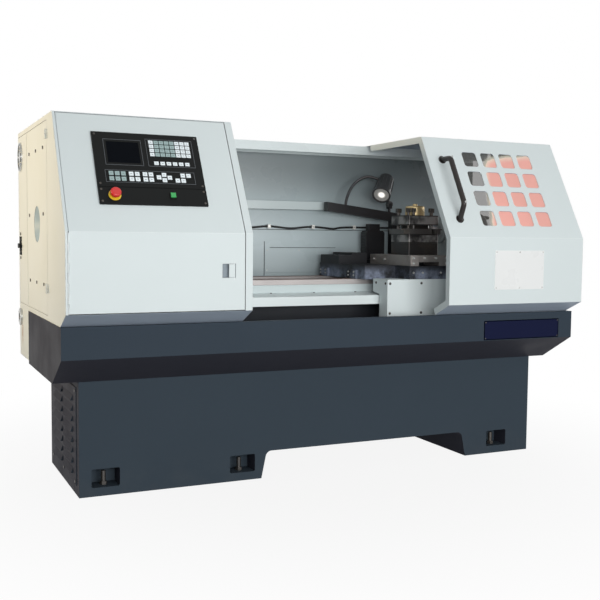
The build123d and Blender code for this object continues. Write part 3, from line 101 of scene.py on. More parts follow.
class Shader:
    """Hand for adding and joining the nodes of one shader tree."""

    def __init__(self, tree: bpy.types.NodeTree) -> None:
        """Keeps the tree that the nodes go into."""
        self.tree = tree

    def feed(self, socket: Socket, value: object) -> None:
        """Links a socket to the input, or writes a constant on it.

        Args:
            socket: the input to feed.
            value: a socket to link from, or a constant.
        """
        if isinstance(value, Socket):
            self.tree.links.new(value, socket)
        else:
            socket.default_value = value

    def fill(self, node: bpy.types.Node, values: dict) -> None:
        """Feeds a node's inputs by name or number, each with a constant or a socket."""
        for name, value in values.items():
            self.feed(node.inputs[name], value)

    def node(self, kind: str, values: dict | None = None, **settings: object) -> bpy.types.Node:
        """Adds a node.

        Args:
            kind: Blender's name of the node type.
            values: inputs by name or number, each a constant or a socket.
            settings: attributes of the node.

        Returns:
            The new node.
        """
        made = self.tree.nodes.new(kind)
        for name, value in settings.items():
            setattr(made, name, value)
        self.fill(made, values or {})
        return made

    def calc(self, operation: str, first: object, second: object = 0.0, clamp: bool = False) -> Socket:
        """Adds a Math node and returns its value."""
        made = self.node("ShaderNodeMath", {0: first, 1: second}, operation=operation, use_clamp=clamp)
        return made.outputs[0]

    def times(self, first: object, second: object, clamp: bool = False) -> Socket:
        """Multiplies two values and returns the product."""
        return self.calc("MULTIPLY", first, second, clamp)

    def plus(self, first: object, second: object) -> Socket:
        """Adds two values and returns the sum."""
        return self.calc("ADD", first, second)

    def minus(self, first: object, second: object) -> Socket:
        """Takes the second value from the first and returns the rest."""
        return self.calc("SUBTRACT", first, second)

    def blend(self, share: object, first: object, second: object, way: str = "MIX") -> Socket:
        """Mixes two colours by a share.

        Args:
            share: how much of the second colour, 0 to 1.
            first: the colour at 0.
            second: the colour at 1.
            way: Blender's name of the way of mixing.

        Returns:
            The mixed colour.
        """
        made = self.node("ShaderNodeMix", data_type="RGBA", blend_type=way)
        for place, value in ((0, share), (6, first), (7, second)):
            self.feed(made.inputs[place], rgba(value) if isinstance(value, tuple) else value)
        return made.outputs[2]

    def ramp(self, value: object, low: object, high: object, to_low: float = 0.0, to_high: float = 1.0) -> Socket:
        """Maps a range of values smoothly onto another.

        Args:
            value: the value to map.
            low: start of the range.
            high: end of the range.
            to_low: the result at the start.
            to_high: the result at the end.

        Returns:
            The mapped value.
        """
        made = self.node(
            "ShaderNodeMapRange",
            {"Value": value, "From Min": low, "From Max": high, "To Min": to_low, "To Max": to_high},
            interpolation_type="SMOOTHSTEP",
        )
        return made.outputs["Result"]

    def place(self) -> Socket:
        """Returns the point in the piece's own space, which is the machine's frame."""
        return self.node("ShaderNodeTexCoord").outputs["Object"]

    def axes(self) -> tuple[Socket, ...]:
        """Returns X, Y and Z of the point in the machine's frame."""
        return tuple(self.node("ShaderNodeSeparateXYZ", {0: self.place()}).outputs)

    def noise(self, scale: float, detail: float = 2.0, where: object = None, rough: float = 0.5) -> Socket:
        """Adds a noise texture.

        Args:
            scale: waves per metre.
            detail: number of finer layers.
            where: the point it is read at, or None for the point on the piece.
            rough: strength of the finer layers.

        Returns:
            Its grey value.
        """
        point = where if where is not None else self.place()
        made = self.node(
            "ShaderNodeTexNoise", {"Vector": point, "Scale": scale, "Detail": detail, "Roughness": rough}
        )
        return made.outputs[0]

    def bump(self, height: object, depth: float, normal: object = None, strength: float = 1.0) -> Socket:
        """Raises a height over a normal.

        Args:
            height: the height to raise.
            depth: metres between its 0 and 1.
            normal: the normal under it, or None for the face's own.
            strength: share of the effect.

        Returns:
            The new normal.
        """
        values = {"Strength": strength, "Distance": depth, "Height": height}
        if normal is not None:
            values["Normal"] = normal
        return self.node("ShaderNodeBump", values).outputs[0]


def rgba(colour: Sequence[float]) -> tuple[float, float, float, float]:
    """Adds full alpha to a colour."""
    return (colour[0], colour[1], colour[2], 1.0)


@dataclass
class EffectShelf:
    """Builds each shared node group once and places it in materials."""

    made: dict[Effect, bpy.types.NodeTree] = field(default_factory=dict)

    def put(self, shader: Shader, effect: Effect, values: dict | None = None) -> bpy.types.Node:
        """Places an effect in a material.

        Args:
            shader: the material's nodes.
            effect: which group.
            values: the group's inputs in this material.

        Returns:
            The group node, with named outputs.
        """
        if effect not in self.made:
            builders: dict[Effect, Callable[[], bpy.types.NodeTree]] = {
                Effect.PAINT_FILM: self.paint_film,
                Effect.EDGE_WEAR: self.edge_wear,
                Effect.METAL_GRAIN: self.metal_grain,
                Effect.SHOP_GRIME: self.shop_grime,
            }
            self.made[effect] = builders[effect]()
        made = shader.node("ShaderNodeGroup", node_tree=self.made[effect])
        shader.fill(made, values or {})
        return made

    @staticmethod
    def group(
        name: str, inputs: dict[str, float], outputs: dict[str, str]
    ) -> tuple[Shader, bpy.types.Node, bpy.types.Node]:
        """Starts a node group.

        Args:
            name: name of the group.
            inputs: float inputs with their usual values.
            outputs: outputs with their kinds, Float or Vector.

        Returns:
            The group's shader hand, its input node and its output node.
        """
        tree = bpy.data.node_groups.new(name, "ShaderNodeTree")
        for label, usual in inputs.items():
            socket = tree.interface.new_socket(label, in_out="INPUT", socket_type="NodeSocketFloat")
            socket.default_value = usual
        for label, kind in outputs.items():
            tree.interface.new_socket(label, in_out="OUTPUT", socket_type="NodeSocket" + kind)
        shader = Shader(tree)
        return shader, shader.node("NodeGroupInput"), shader.node("NodeGroupOutput")

    def paint_film(self) -> bpy.types.NodeTree:
        """Sprayed paint: cloudy tone, uneven gloss, orange peel and the wave of the sheet under it.

        Returns:
            The node group.
        """
        shader, given, out = self.group(
            Effect.PAINT_FILM.value,
            {"Mottle": 0.06, "Peel": 0.06, "Wave": 1.0},
            {"Tone": "Float", "Gloss": "Float", "Height": "Float"},
        )
        cloud = shader.noise(2.1, 3.0)
        speck = shader.noise(70.0, 2.0)
        swing = shader.plus(shader.times(cloud, 1.5), shader.times(speck, 0.5))
        swing = shader.times(shader.minus(swing, 1.0), given.outputs["Mottle"])
        shader.feed(out.inputs["Tone"], shader.plus(swing, 1.0))
        shader.feed(out.inputs["Gloss"], shader.ramp(shader.noise(5.5, 4.0), 0.3, 0.75, -0.05, 0.07))
        wave = shader.times(shader.noise(2.7, 1.0), given.outputs["Wave"])
        peel = shader.times(shader.noise(380.0, 1.0), given.outputs["Peel"])
        shader.feed(out.inputs["Height"], shader.plus(wave, peel))
        return shader.tree

    def edge_wear(self) -> bpy.types.NodeTree:
        """Rounded edges with paint rubbed thin along them, and a mask for a painted highlight along folds.

        Returns:
            The node group.
        """
        shader, given, out = self.group(
            Effect.EDGE_WEAR.value,
            {"Radius": 0.0015, "Amount": 0.5},
            {"Mask": "Float", "Highlight": "Float", "Normal": "Vector"},
        )
        soft = shader.node("ShaderNodeBevel", {"Radius": given.outputs["Radius"]}, samples=4)
        true = shader.node("ShaderNodeNewGeometry").outputs["Normal"]
        even = shader.node("ShaderNodeVectorMath", {0: soft.outputs[0], 1: true}, operation="DOT_PRODUCT")
        turn = shader.minus(1.0, even.outputs["Value"])
        rubbed = shader.times(shader.ramp(turn, 0.04, 0.3), shader.ramp(shader.noise(38.0, 4.0), 0.4, 0.66))
        shader.feed(out.inputs["Mask"], shader.times(rubbed, given.outputs["Amount"], clamp=True))
        # Mask for a painted highlight along folds and edges.
        shader.feed(out.inputs["Highlight"], shader.ramp(turn, 0.004, 0.02))
        shader.feed(out.inputs["Normal"], soft.outputs[0])
        return shader.tree

    def metal_grain(self) -> bpy.types.NodeTree:
        """Fine lines that grinding or turning leaves, drawn out along one axis, with an oil film.

        Returns:
            The node group.
        """
        shader, given, out = self.group(
            Effect.METAL_GRAIN.value,
            {"Along X": 4.0, "Along Y": 600.0, "Along Z": 600.0},
            {"Tone": "Float", "Gloss": "Float", "Height": "Float", "Oil": "Float"},
        )
        stretch = shader.node(
            "ShaderNodeCombineXYZ",
            {0: given.outputs["Along X"], 1: given.outputs["Along Y"], 2: given.outputs["Along Z"]},
        )
        point = shader.node("ShaderNodeVectorMath", {0: shader.place(), 1: stretch.outputs[0]}, operation="MULTIPLY")
        lines = shader.noise(1.0, 3.0, point.outputs[0], 0.6)
        smear = shader.noise(7.0, 5.0)
        shader.feed(out.inputs["Tone"], shader.ramp(lines, 0.25, 0.75, 0.86, 1.1))
        shader.feed(out.inputs["Gloss"], shader.ramp(shader.plus(lines, smear), 0.7, 1.35, -0.08, 0.12))
        shader.feed(out.inputs["Height"], lines)
        shader.feed(out.inputs["Oil"], shader.ramp(smear, 0.46, 0.68))
        return shader.tree

    def shop_grime(self) -> bpy.types.NodeTree:
        """Dust and splashes that thin out from a low height to a high one.

        Returns:
            The node group.
        """
        shader, given, out = self.group(
            Effect.SHOP_GRIME.value, {"Low": 0.0, "High": 0.2, "Amount": 0.4}, {"Mask": "Float"}
        )
        height = shader.axes()[2]
        reach = shader.ramp(height, given.outputs["Low"], given.outputs["High"], 1.0, 0.0)
        splash_and_shade = shader.ramp(shader.noise(9.0, 6.0, rough=0.65), 0.35, 0.72)
        mask = shader.times(reach, splash_and_shade)
        shader.feed(out.inputs["Mask"], shader.times(mask, given.outputs["Amount"], clamp=True))
        return shader.tree


EFFECTS = EffectShelf()


def start_material(name: str) -> tuple[bpy.types.Material, Shader, bpy.types.Node]:
    """Starts a material with only a Principled shader.

    Args:
        name: name of the finish.

    Returns:
        The material, its shader hand and its Principled node.
    """
    material = bpy.data.materials.new(name)
    material.use_nodes = True
    material.node_tree.nodes.clear()
    shader = Shader(material.node_tree)
    surface = shader.node("ShaderNodeBsdfPrincipled")
    shader.node("ShaderNodeOutputMaterial", {"Surface": surface.outputs[0]})
    return material, shader, surface


PALE_COLOUR: Colour = (0.70, 0.775, 0.785)


@dataclass(frozen=True)
class Paint:
    """Sprayed enamel on sheet metal or a casting."""

    name: str
    colour: Colour
    roughness: float = 0.34
    mottle: float = 0.05
    peel: float = 0.05
    wave: float = 1.0
    depth: float = 0.0006
    edge: float = 0.0016
    wear: float = 0.25
    bare: Colour = (0.52, 0.52, 0.5)
    dust: Colour = (0.30, 0.27, 0.23)
    grime: float = 0.0
    grime_low: float = 0.0
    grime_high: float = 0.3
    coat: float = 0.25
    specular: float = 0.5
    # under darkens the faces that look down towards its colour: painted shade.
    under: float = 0.0
    underside_shade_colour: Colour = (0.33, 0.40, 0.50)
    # end darkens the faces that look to the left towards its colour: painted shade.
    end: float = 0.0
    left_shade_colour: Colour = (0.02, 0.015, 0.02)
    # A pale colour laid along folds and edges: painted highlight.
    fold_highlight: float = 0.0
    fold_highlight_colour: Colour = (0.88, 0.93, 0.935)

    def make(self) -> bpy.types.Material:
        """Builds the material.

        Returns:
            The material.
        """
        material, shader, surface = start_material(self.name)
        colour, rough = self.coats(shader)
        # Painted shade: faces that look down and faces that look to the left are darkened towards their own colours.
        for axis, share, film in ((2, self.under, self.underside_shade_colour), (0, self.end, self.left_shade_colour)):
            if share:
                share = shader.times(self.turned_away(shader, axis), share)
                colour = shader.blend(share, colour, film)
        shader.fill(surface, {
            "Base Color": colour,
            "Roughness": rough,
            "Coat Weight": self.coat,
            "Coat Roughness": 0.16,
            "Specular IOR Level": self.specular,
            "Normal": self.relief(shader),
        })
        return material

    def coats(self, shader: Shader) -> tuple[Socket, Socket]:
        """Lays tone, grime, a painted highlight along folds and rubbed edges over each other.

        Args:
            shader: the material's nodes.

        Returns:
            Colour and roughness.
        """
        film = EFFECTS.put(shader, Effect.PAINT_FILM, {"Mottle": self.mottle})
        edge = EFFECTS.put(shader, Effect.EDGE_WEAR, {"Radius": self.edge, "Amount": self.wear})
        colour = shader.blend(1.0, self.colour, film.outputs["Tone"], "MULTIPLY")
        rough = shader.plus(film.outputs["Gloss"], self.roughness)
        if self.grime:
            grime = EFFECTS.put(
                shader,
                Effect.SHOP_GRIME,
                {"Low": self.grime_low, "High": self.grime_high, "Amount": self.grime},
            )
            colour = shader.blend(grime.outputs["Mask"], colour, self.dust)
            rough = shader.plus(rough, shader.times(grime.outputs["Mask"], 0.3))
        # Painted highlight along folds and edges.
        if self.fold_highlight:
            share = shader.times(edge.outputs["Highlight"], self.fold_highlight)
            colour = shader.blend(share, colour, self.fold_highlight_colour)
        return shader.blend(edge.outputs["Mask"], colour, self.bare), rough

    @staticmethod
    def turned_away(shader: Shader, axis: int) -> Socket:
        """Finds the faces that look against an axis of the machine.

        Args:
            shader: the material's nodes.
            axis: 0 for X, 1 for Y, 2 for Z.

        Returns:
            1 on those faces and 0 on the others.
        """
        true = shader.node("ShaderNodeNewGeometry").outputs["True Normal"]
        part = shader.node("ShaderNodeSeparateXYZ", {0: true}).outputs[axis]
        return shader.ramp(part, -0.6, -0.3, 1.0, 0.0)

    def relief(self, shader: Shader) -> Socket:
        """Rounds the edges and raises sheet wave and orange peel.

        Args:
            shader: the material's nodes.

        Returns:
            The normal.
        """
        film = EFFECTS.put(shader, Effect.PAINT_FILM, {"Peel": self.peel, "Wave": self.wave})
        edge = EFFECTS.put(shader, Effect.EDGE_WEAR, {"Radius": self.edge})
        return shader.bump(film.outputs["Height"], self.depth, edge.outputs["Normal"])


@dataclass(frozen=True)
class StreakedPaint(Paint):
    """Enamel with a rust run below the cable inlet at the end of the hood."""

    run_y: float = 0.515
    run_top: float = 0.632
    run_length: float = 0.115
    run_half: float = 0.032
    outer_x: float = -1.211
    rust: Colour = (0.33, 0.16, 0.06)

    def coats(self, shader: Shader) -> tuple[Socket, Socket]:
        """Lays the rust run over the usual coats.

        Args:
            shader: the material's nodes.

        Returns:
            Colour and roughness.
        """
        colour, rough = super().coats(shader)
        x, y, z = shader.axes()
        ragged = shader.times(shader.minus(shader.noise(24.0, 4.0), 0.5), 0.03)
        side = shader.calc("ABSOLUTE", shader.minus(shader.plus(y, ragged), self.run_y))
        across = shader.ramp(side, 0.2 * self.run_half, self.run_half, 1.0, 0.0)
        down = shader.ramp(z, self.run_top - self.run_length, self.run_top - 0.2 * self.run_length)
        below = shader.ramp(z, self.run_top, self.run_top + 0.01, 1.0, 0.0)
        outer = shader.ramp(x, self.outer_x, self.outer_x + 0.002, 1.0, 0.0)
        mask = shader.times(shader.times(across, down), shader.times(below, outer))
        mask = shader.times(mask, shader.ramp(shader.noise(60.0, 4.0), 0.25, 0.6))
        return shader.blend(shader.times(mask, 0.85), colour, self.rust), rough


@dataclass(frozen=True)
class GuardPaint(Paint):
    """Enamel of the rear guard with painted shade: its inner face darker than the rail, darker still towards the top
    and the bottom and in the channel, with the clean pale rail above.
    """

    rail_low: float = 1.4855
    # Painted shade: the inner face darkens towards the top, under the rail, and towards the bottom, by these heights
    # and shares.
    top_shade_low: float = 1.08
    top_shade_high: float = 1.44
    top_shade: float = 0.39
    bottom_shade_low: float = 0.9
    splash_and_shade: float = 0.8
    front_y: float = 0.29
    rail: Colour = PALE_COLOUR
    # Darker colour of the channel in front of front_y: painted shade.
    channel: Colour = (0.49, 0.565, 0.575)

    def coats(self, shader: Shader) -> tuple[Socket, Socket]:
        """Lays the painted shade and the rail over the usual coats.

        Args:
            shader: the material's nodes.

        Returns:
            Colour and roughness.
        """
        colour, rough = super().coats(shader)
        _, depth, height = shader.axes()
        # Painted shade, darker towards the top and towards the bottom.
        dull = shader.ramp(height, self.top_shade_low, self.top_shade_high, 1.0, self.top_shade)
        dull = shader.times(dull, shader.ramp(height, self.bottom_shade_low, self.top_shade_low, self.splash_and_shade, 1.0))
        colour = shader.blend(1.0, colour, dull, "MULTIPLY")
        # The inner face keeps the darker colour as painted shade; other faces take the rail's colour.
        colour = shader.blend(self.turned_away(shader, 1), self.rail, colour)
        # Painted shade in the channel.
        colour = shader.blend(shader.ramp(depth, self.front_y, self.front_y + 0.001, 1.0, 0.0), colour, self.channel)
        return shader.blend(shader.ramp(height, self.rail_low, self.rail_low + 0.001), colour, self.rail), rough


@dataclass(frozen=True)
class Metal:
    """Bare machined metal with its grinding or turning lines."""

    name: str
    colour: Colour
    roughness: float = 0.3
    lines: Point = (5.0, 700.0, 700.0)
    depth: float = 0.00003
    edge: float = 0.0008
    bright: float = 0.5
    bare: Colour = (0.78, 0.78, 0.76)
    oil: float = 0.2
    oil_colour: Colour = (0.10, 0.075, 0.05)
    metallic: float = 1.0

    def make(self) -> bpy.types.Material:
        """Builds the material.

        Returns:
            The material.
        """
        material, shader, surface = start_material(self.name)
        grain = EFFECTS.put(
            shader, Effect.METAL_GRAIN, dict(zip(("Along X", "Along Y", "Along Z"), self.lines))
        )
        edge = EFFECTS.put(shader, Effect.EDGE_WEAR, {"Radius": self.edge, "Amount": self.bright})
        colour = shader.blend(1.0, self.colour, grain.outputs["Tone"], "MULTIPLY")
        colour = shader.blend(shader.times(grain.outputs["Oil"], self.oil), colour, self.oil_colour)
        colour = shader.blend(edge.outputs["Mask"], colour, self.bare)
        shader.fill(surface, {
            "Base Color": self.tint(shader, colour),
            "Roughness": shader.plus(grain.outputs["Gloss"], self.roughness),
            "Metallic": self.metallic,
            "Normal": shader.bump(grain.outputs["Height"], self.depth, edge.outputs["Normal"]),
        })
        return material

    def tint(self, shader: Shader, colour: Socket) -> Socket:
        """Returns the colour as it is; finishes with zones change it."""
        return colour


@dataclass(frozen=True)
class BedCasting(Paint):
    """Painted bed casting whose ways are ground bright in front and oil brown on top."""

    way_low: float = 0.8455
    way_top: float = 0.869
    pale_low: float = 0.79
    pale: Colour = (0.60, 0.68, 0.69)
    ground: Colour = (0.37, 0.345, 0.34)
    oiled: Colour = (0.145, 0.085, 0.07)
    worn: Colour = (0.22, 0.15, 0.13)

    def make(self) -> bpy.types.Material:
        """Builds the material with its ground zone.

        Returns:
            The material.
        """
        material, shader, surface = start_material(self.name)
        colour, rough = self.coats(shader)
        height = shader.axes()[2]
        colour = shader.blend(shader.ramp(height, self.pale_low, self.pale_low + 0.004), colour, self.pale)
        zone = shader.ramp(height, self.way_low, self.way_low + 0.0006)
        top = shader.ramp(height, self.way_top, self.way_top + 0.0008)
        grain = EFFECTS.put(shader, Effect.METAL_GRAIN, {"Along X": 3.0, "Along Y": 500.0, "Along Z": 500.0})
        steel = shader.blend(1.0, self.ground, grain.outputs["Tone"], "MULTIPLY")
        brown = shader.blend(grain.outputs["Oil"], self.oiled, self.worn)
        steel = shader.blend(top, steel, brown)
        dull = shader.ramp(top, 0.0, 1.0, 0.35, 0.2)
        smooth = shader.plus(grain.outputs["Gloss"], 0.4)
        shader.fill(surface, {
            "Base Color": shader.blend(zone, colour, steel),
            "Metallic": shader.times(zone, dull),
            "Specular IOR Level": 0.2,
            "Roughness": self.between(shader, zone, rough, smooth),
            "Normal": self.relief(shader),
        })
        return material

    @staticmethod
    def between(shader: Shader, share: Socket, first: Socket, second: Socket) -> Socket:
        """Mixes two values by a share and returns the value."""
        step = shader.times(shader.minus(second, first), share)
        return shader.plus(first, step)


@dataclass(frozen=True)
class TurretSteel(Metal):
    """Blackened tool steel with ground bands round the upper and the lower plate."""

    bands: tuple[tuple[float, float], ...] = ((1.046, 1.081), (1.131, 1.170))
    ground: Colour = (0.46, 0.45, 0.44)
    strength: float = 0.6
    fade: float = 0.002

    def tint(self, shader: Shader, colour: Socket) -> Socket:
        """Adds the ground bands.

        Args:
            shader: the material's nodes.
            colour: the colour of the steel.

        Returns:
            The colour with the bands.
        """
        height = shader.axes()[2]
        rub = shader.ramp(shader.noise(14.0, 4.0), 0.36, 0.62)
        for low, high in self.bands:
            foot = shader.ramp(height, low, low + self.fade)
            inside = shader.times(foot, shader.ramp(height, high - self.fade, high, 1.0, 0.0))
            share = shader.times(shader.times(inside, rub), self.strength)
            colour = shader.blend(share, colour, self.ground)
        return colour


@dataclass(frozen=True)
class Moulding:
    """Moulded plastic or rubber with a fine grain."""

    name: str
    colour: Colour
    roughness: float = 0.42
    grain: float = 900.0
    depth: float = 0.00004
    edge: float = 0.0008
    mottle: float = 0.12
    coat: float = 0.0
    specular: float = 0.4

    def make(self) -> bpy.types.Material:
        """Builds the material.

        Returns:
            The material.
        """
        material, shader, surface = start_material(self.name)
        film = EFFECTS.put(shader, Effect.PAINT_FILM, {"Mottle": self.mottle})
        edge = EFFECTS.put(shader, Effect.EDGE_WEAR, {"Radius": self.edge})
        grain = shader.noise(self.grain, 2.0)
        shader.fill(surface, {
            "Base Color": self.tint(shader, film.outputs["Tone"]),
            "Roughness": shader.plus(film.outputs["Gloss"], self.roughness),
            "Coat Weight": self.coat,
            "Specular IOR Level": self.specular,
            "Normal": shader.bump(grain, self.depth, edge.outputs["Normal"]),
        })
        return material

    def tint(self, shader: Shader, tone: Socket) -> Socket:
        """Returns the moulding's colour with its cloudy tone."""
        return shader.blend(1.0, self.colour, tone, "MULTIPLY")


@dataclass(frozen=True)
class KeyMembrane(Moulding):
    """Membrane keys, white with some groups tinted blue-green."""

    cool: Colour = (0.36, 0.48, 0.48)
    fields: tuple[tuple[float, float, float, float], ...] = (
        (-0.832, -0.748, 1.362, 1.450),
        (-1.030, -0.953, 1.255, 1.320),
    )

    def tint(self, shader: Shader, tone: Socket) -> Socket:
        """Tints some groups among the white keys.

        Args:
            shader: the material's nodes.
            tone: the moulding's cloudy tone.

        Returns:
            The colour of the keys.
        """
        colour = super().tint(shader, tone)
        x, _, z = shader.axes()
        for left, right, low, high in self.fields:
            across = shader.times(shader.calc("GREATER_THAN", x, left), shader.calc("LESS_THAN", x, right))
            upright = shader.times(shader.calc("GREATER_THAN", z, low), shader.calc("LESS_THAN", z, high))
            colour = shader.blend(shader.times(across, upright), colour, self.cool)
        return colour


@dataclass(frozen=True)
class Pane:
    """Clear guard sheet, most of it still under its salmon film, which curls pale along its edge."""

    name: str
    film: Colour = (0.88, 0.345, 0.305)
    clear: Colour = (0.05, 0.048, 0.04)
    curl: Colour = (0.80, 0.76, 0.62)
    edge_x: float = 0.712
    edge_z: float = 1.158
    edge_lean: float = 0.2
    top_x: float = 0.966
    top_z: float = 1.459
    top_lean: float = 0.1
    round_off: float = 0.09
    curl_width: float = 0.02
    curl_fade: float = 0.028
    clear_alpha: float = 0.5

    def make(self) -> bpy.types.Material:
        """Builds the material.

        Returns:
            The material.
        """
        material, shader, surface = start_material(self.name)
        x, _, z = shader.axes()
        rise = shader.times(shader.minus(z, self.edge_z), self.edge_lean)
        side = shader.minus(shader.minus(x, self.edge_x), rise)
        run = shader.times(shader.minus(x, self.top_x), self.top_lean)
        over = shader.minus(shader.plus(run, self.top_z), z)
        inside = shader.node(
            "ShaderNodeMath", {0: side, 1: over, 2: self.round_off}, operation="SMOOTH_MIN"
        ).outputs[0]
        ragged = shader.times(shader.minus(shader.noise(16.0, 3.0), 0.5), 0.02)
        inside = shader.plus(inside, ragged)
        covered = shader.ramp(inside, 0.0, 0.003)
        curled = shader.times(
            shader.ramp(inside, -self.curl_width, 0.0), shader.ramp(inside, 0.0, self.curl_fade, 1.0, 0.25)
        )
        cloud = shader.ramp(shader.noise(5.0, 3.0), 0.3, 0.7, 0.94, 1.04)
        film = shader.blend(1.0, self.film, cloud, "MULTIPLY")
        colour = shader.blend(covered, self.clear, film)
        colour = shader.blend(shader.times(curled, 0.7), colour, self.curl)
        solid = shader.ramp(covered, 0.0, 1.0, self.clear_alpha, 1.0)
        shader.fill(surface, {
            "Base Color": colour,
            "Roughness": shader.ramp(covered, 0.0, 1.0, 0.06, 0.4),
            "Alpha": shader.calc("MAXIMUM", solid, shader.times(curled, 0.9)),
            "IOR": 1.55,
        })
        return material


@dataclass(frozen=True)
class Glass:
    """Dark display glass or a lit lamp lens."""

    name: str
    colour: Colour
    roughness: float = 0.08
    glow: float = 0.0
    glow_colour: Colour = (1.0, 0.97, 0.9)
    glow_middle: Point = (0.518, 0.1312, 1.2853)
    glow_reach: float = 0.024
    glow_rest: float = 0.06
    ribs: float = 0.0
    rib_depth: float = 0.001
    coat: float = 0.5
    specular: float = 0.5

    def make(self) -> bpy.types.Material:
        """Builds the material.

        Returns:
            The material.
        """
        material, shader, surface = start_material(self.name)
        smear = shader.noise(18.0, 4.0)
        hazy = tuple(min(1.0, 1.6 * part) for part in self.colour)
        colour = shader.blend(shader.ramp(smear, 0.35, 0.75, 0.0, 0.25), self.colour, hazy)
        shader.fill(surface, {
            "Base Color": colour,
            "Roughness": shader.ramp(smear, 0.3, 0.8, self.roughness, self.roughness + 0.12),
            "Coat Weight": self.coat,
            "Coat Roughness": 0.04,
            "Specular IOR Level": self.specular,
        })
        if self.glow:
            off = shader.node("ShaderNodeVectorMath", {0: shader.place(), 1: self.glow_middle}, operation="DISTANCE")
            fall = shader.ramp(off.outputs["Value"], 0.25 * self.glow_reach, self.glow_reach, 1.0, self.glow_rest)
            glow = shader.blend(1.0, self.glow_colour, fall, "MULTIPLY")
            shader.fill(surface, {"Emission Color": glow, "Emission Strength": self.glow})
        if self.ribs:
            cells = shader.node("ShaderNodeTexVoronoi", {"Vector": shader.place(), "Scale": self.ribs})
            relief = shader.bump(cells.outputs["Distance"], self.rib_depth, strength=0.6)
            shader.feed(surface.inputs["Normal"], relief)
        return material


# Sheet enamel: painted shade on faces that look down, and a painted highlight along folds.
SHEET_COAT = {
    "mottle": 0.012, "wave": 0.5, "wear": 0.05, "bare": (0.8, 0.83, 0.83), "coat": 0.0, "specular": 0.15,
    "under": 0.9, "edge": 0.004, "fold_highlight": 0.6,
}


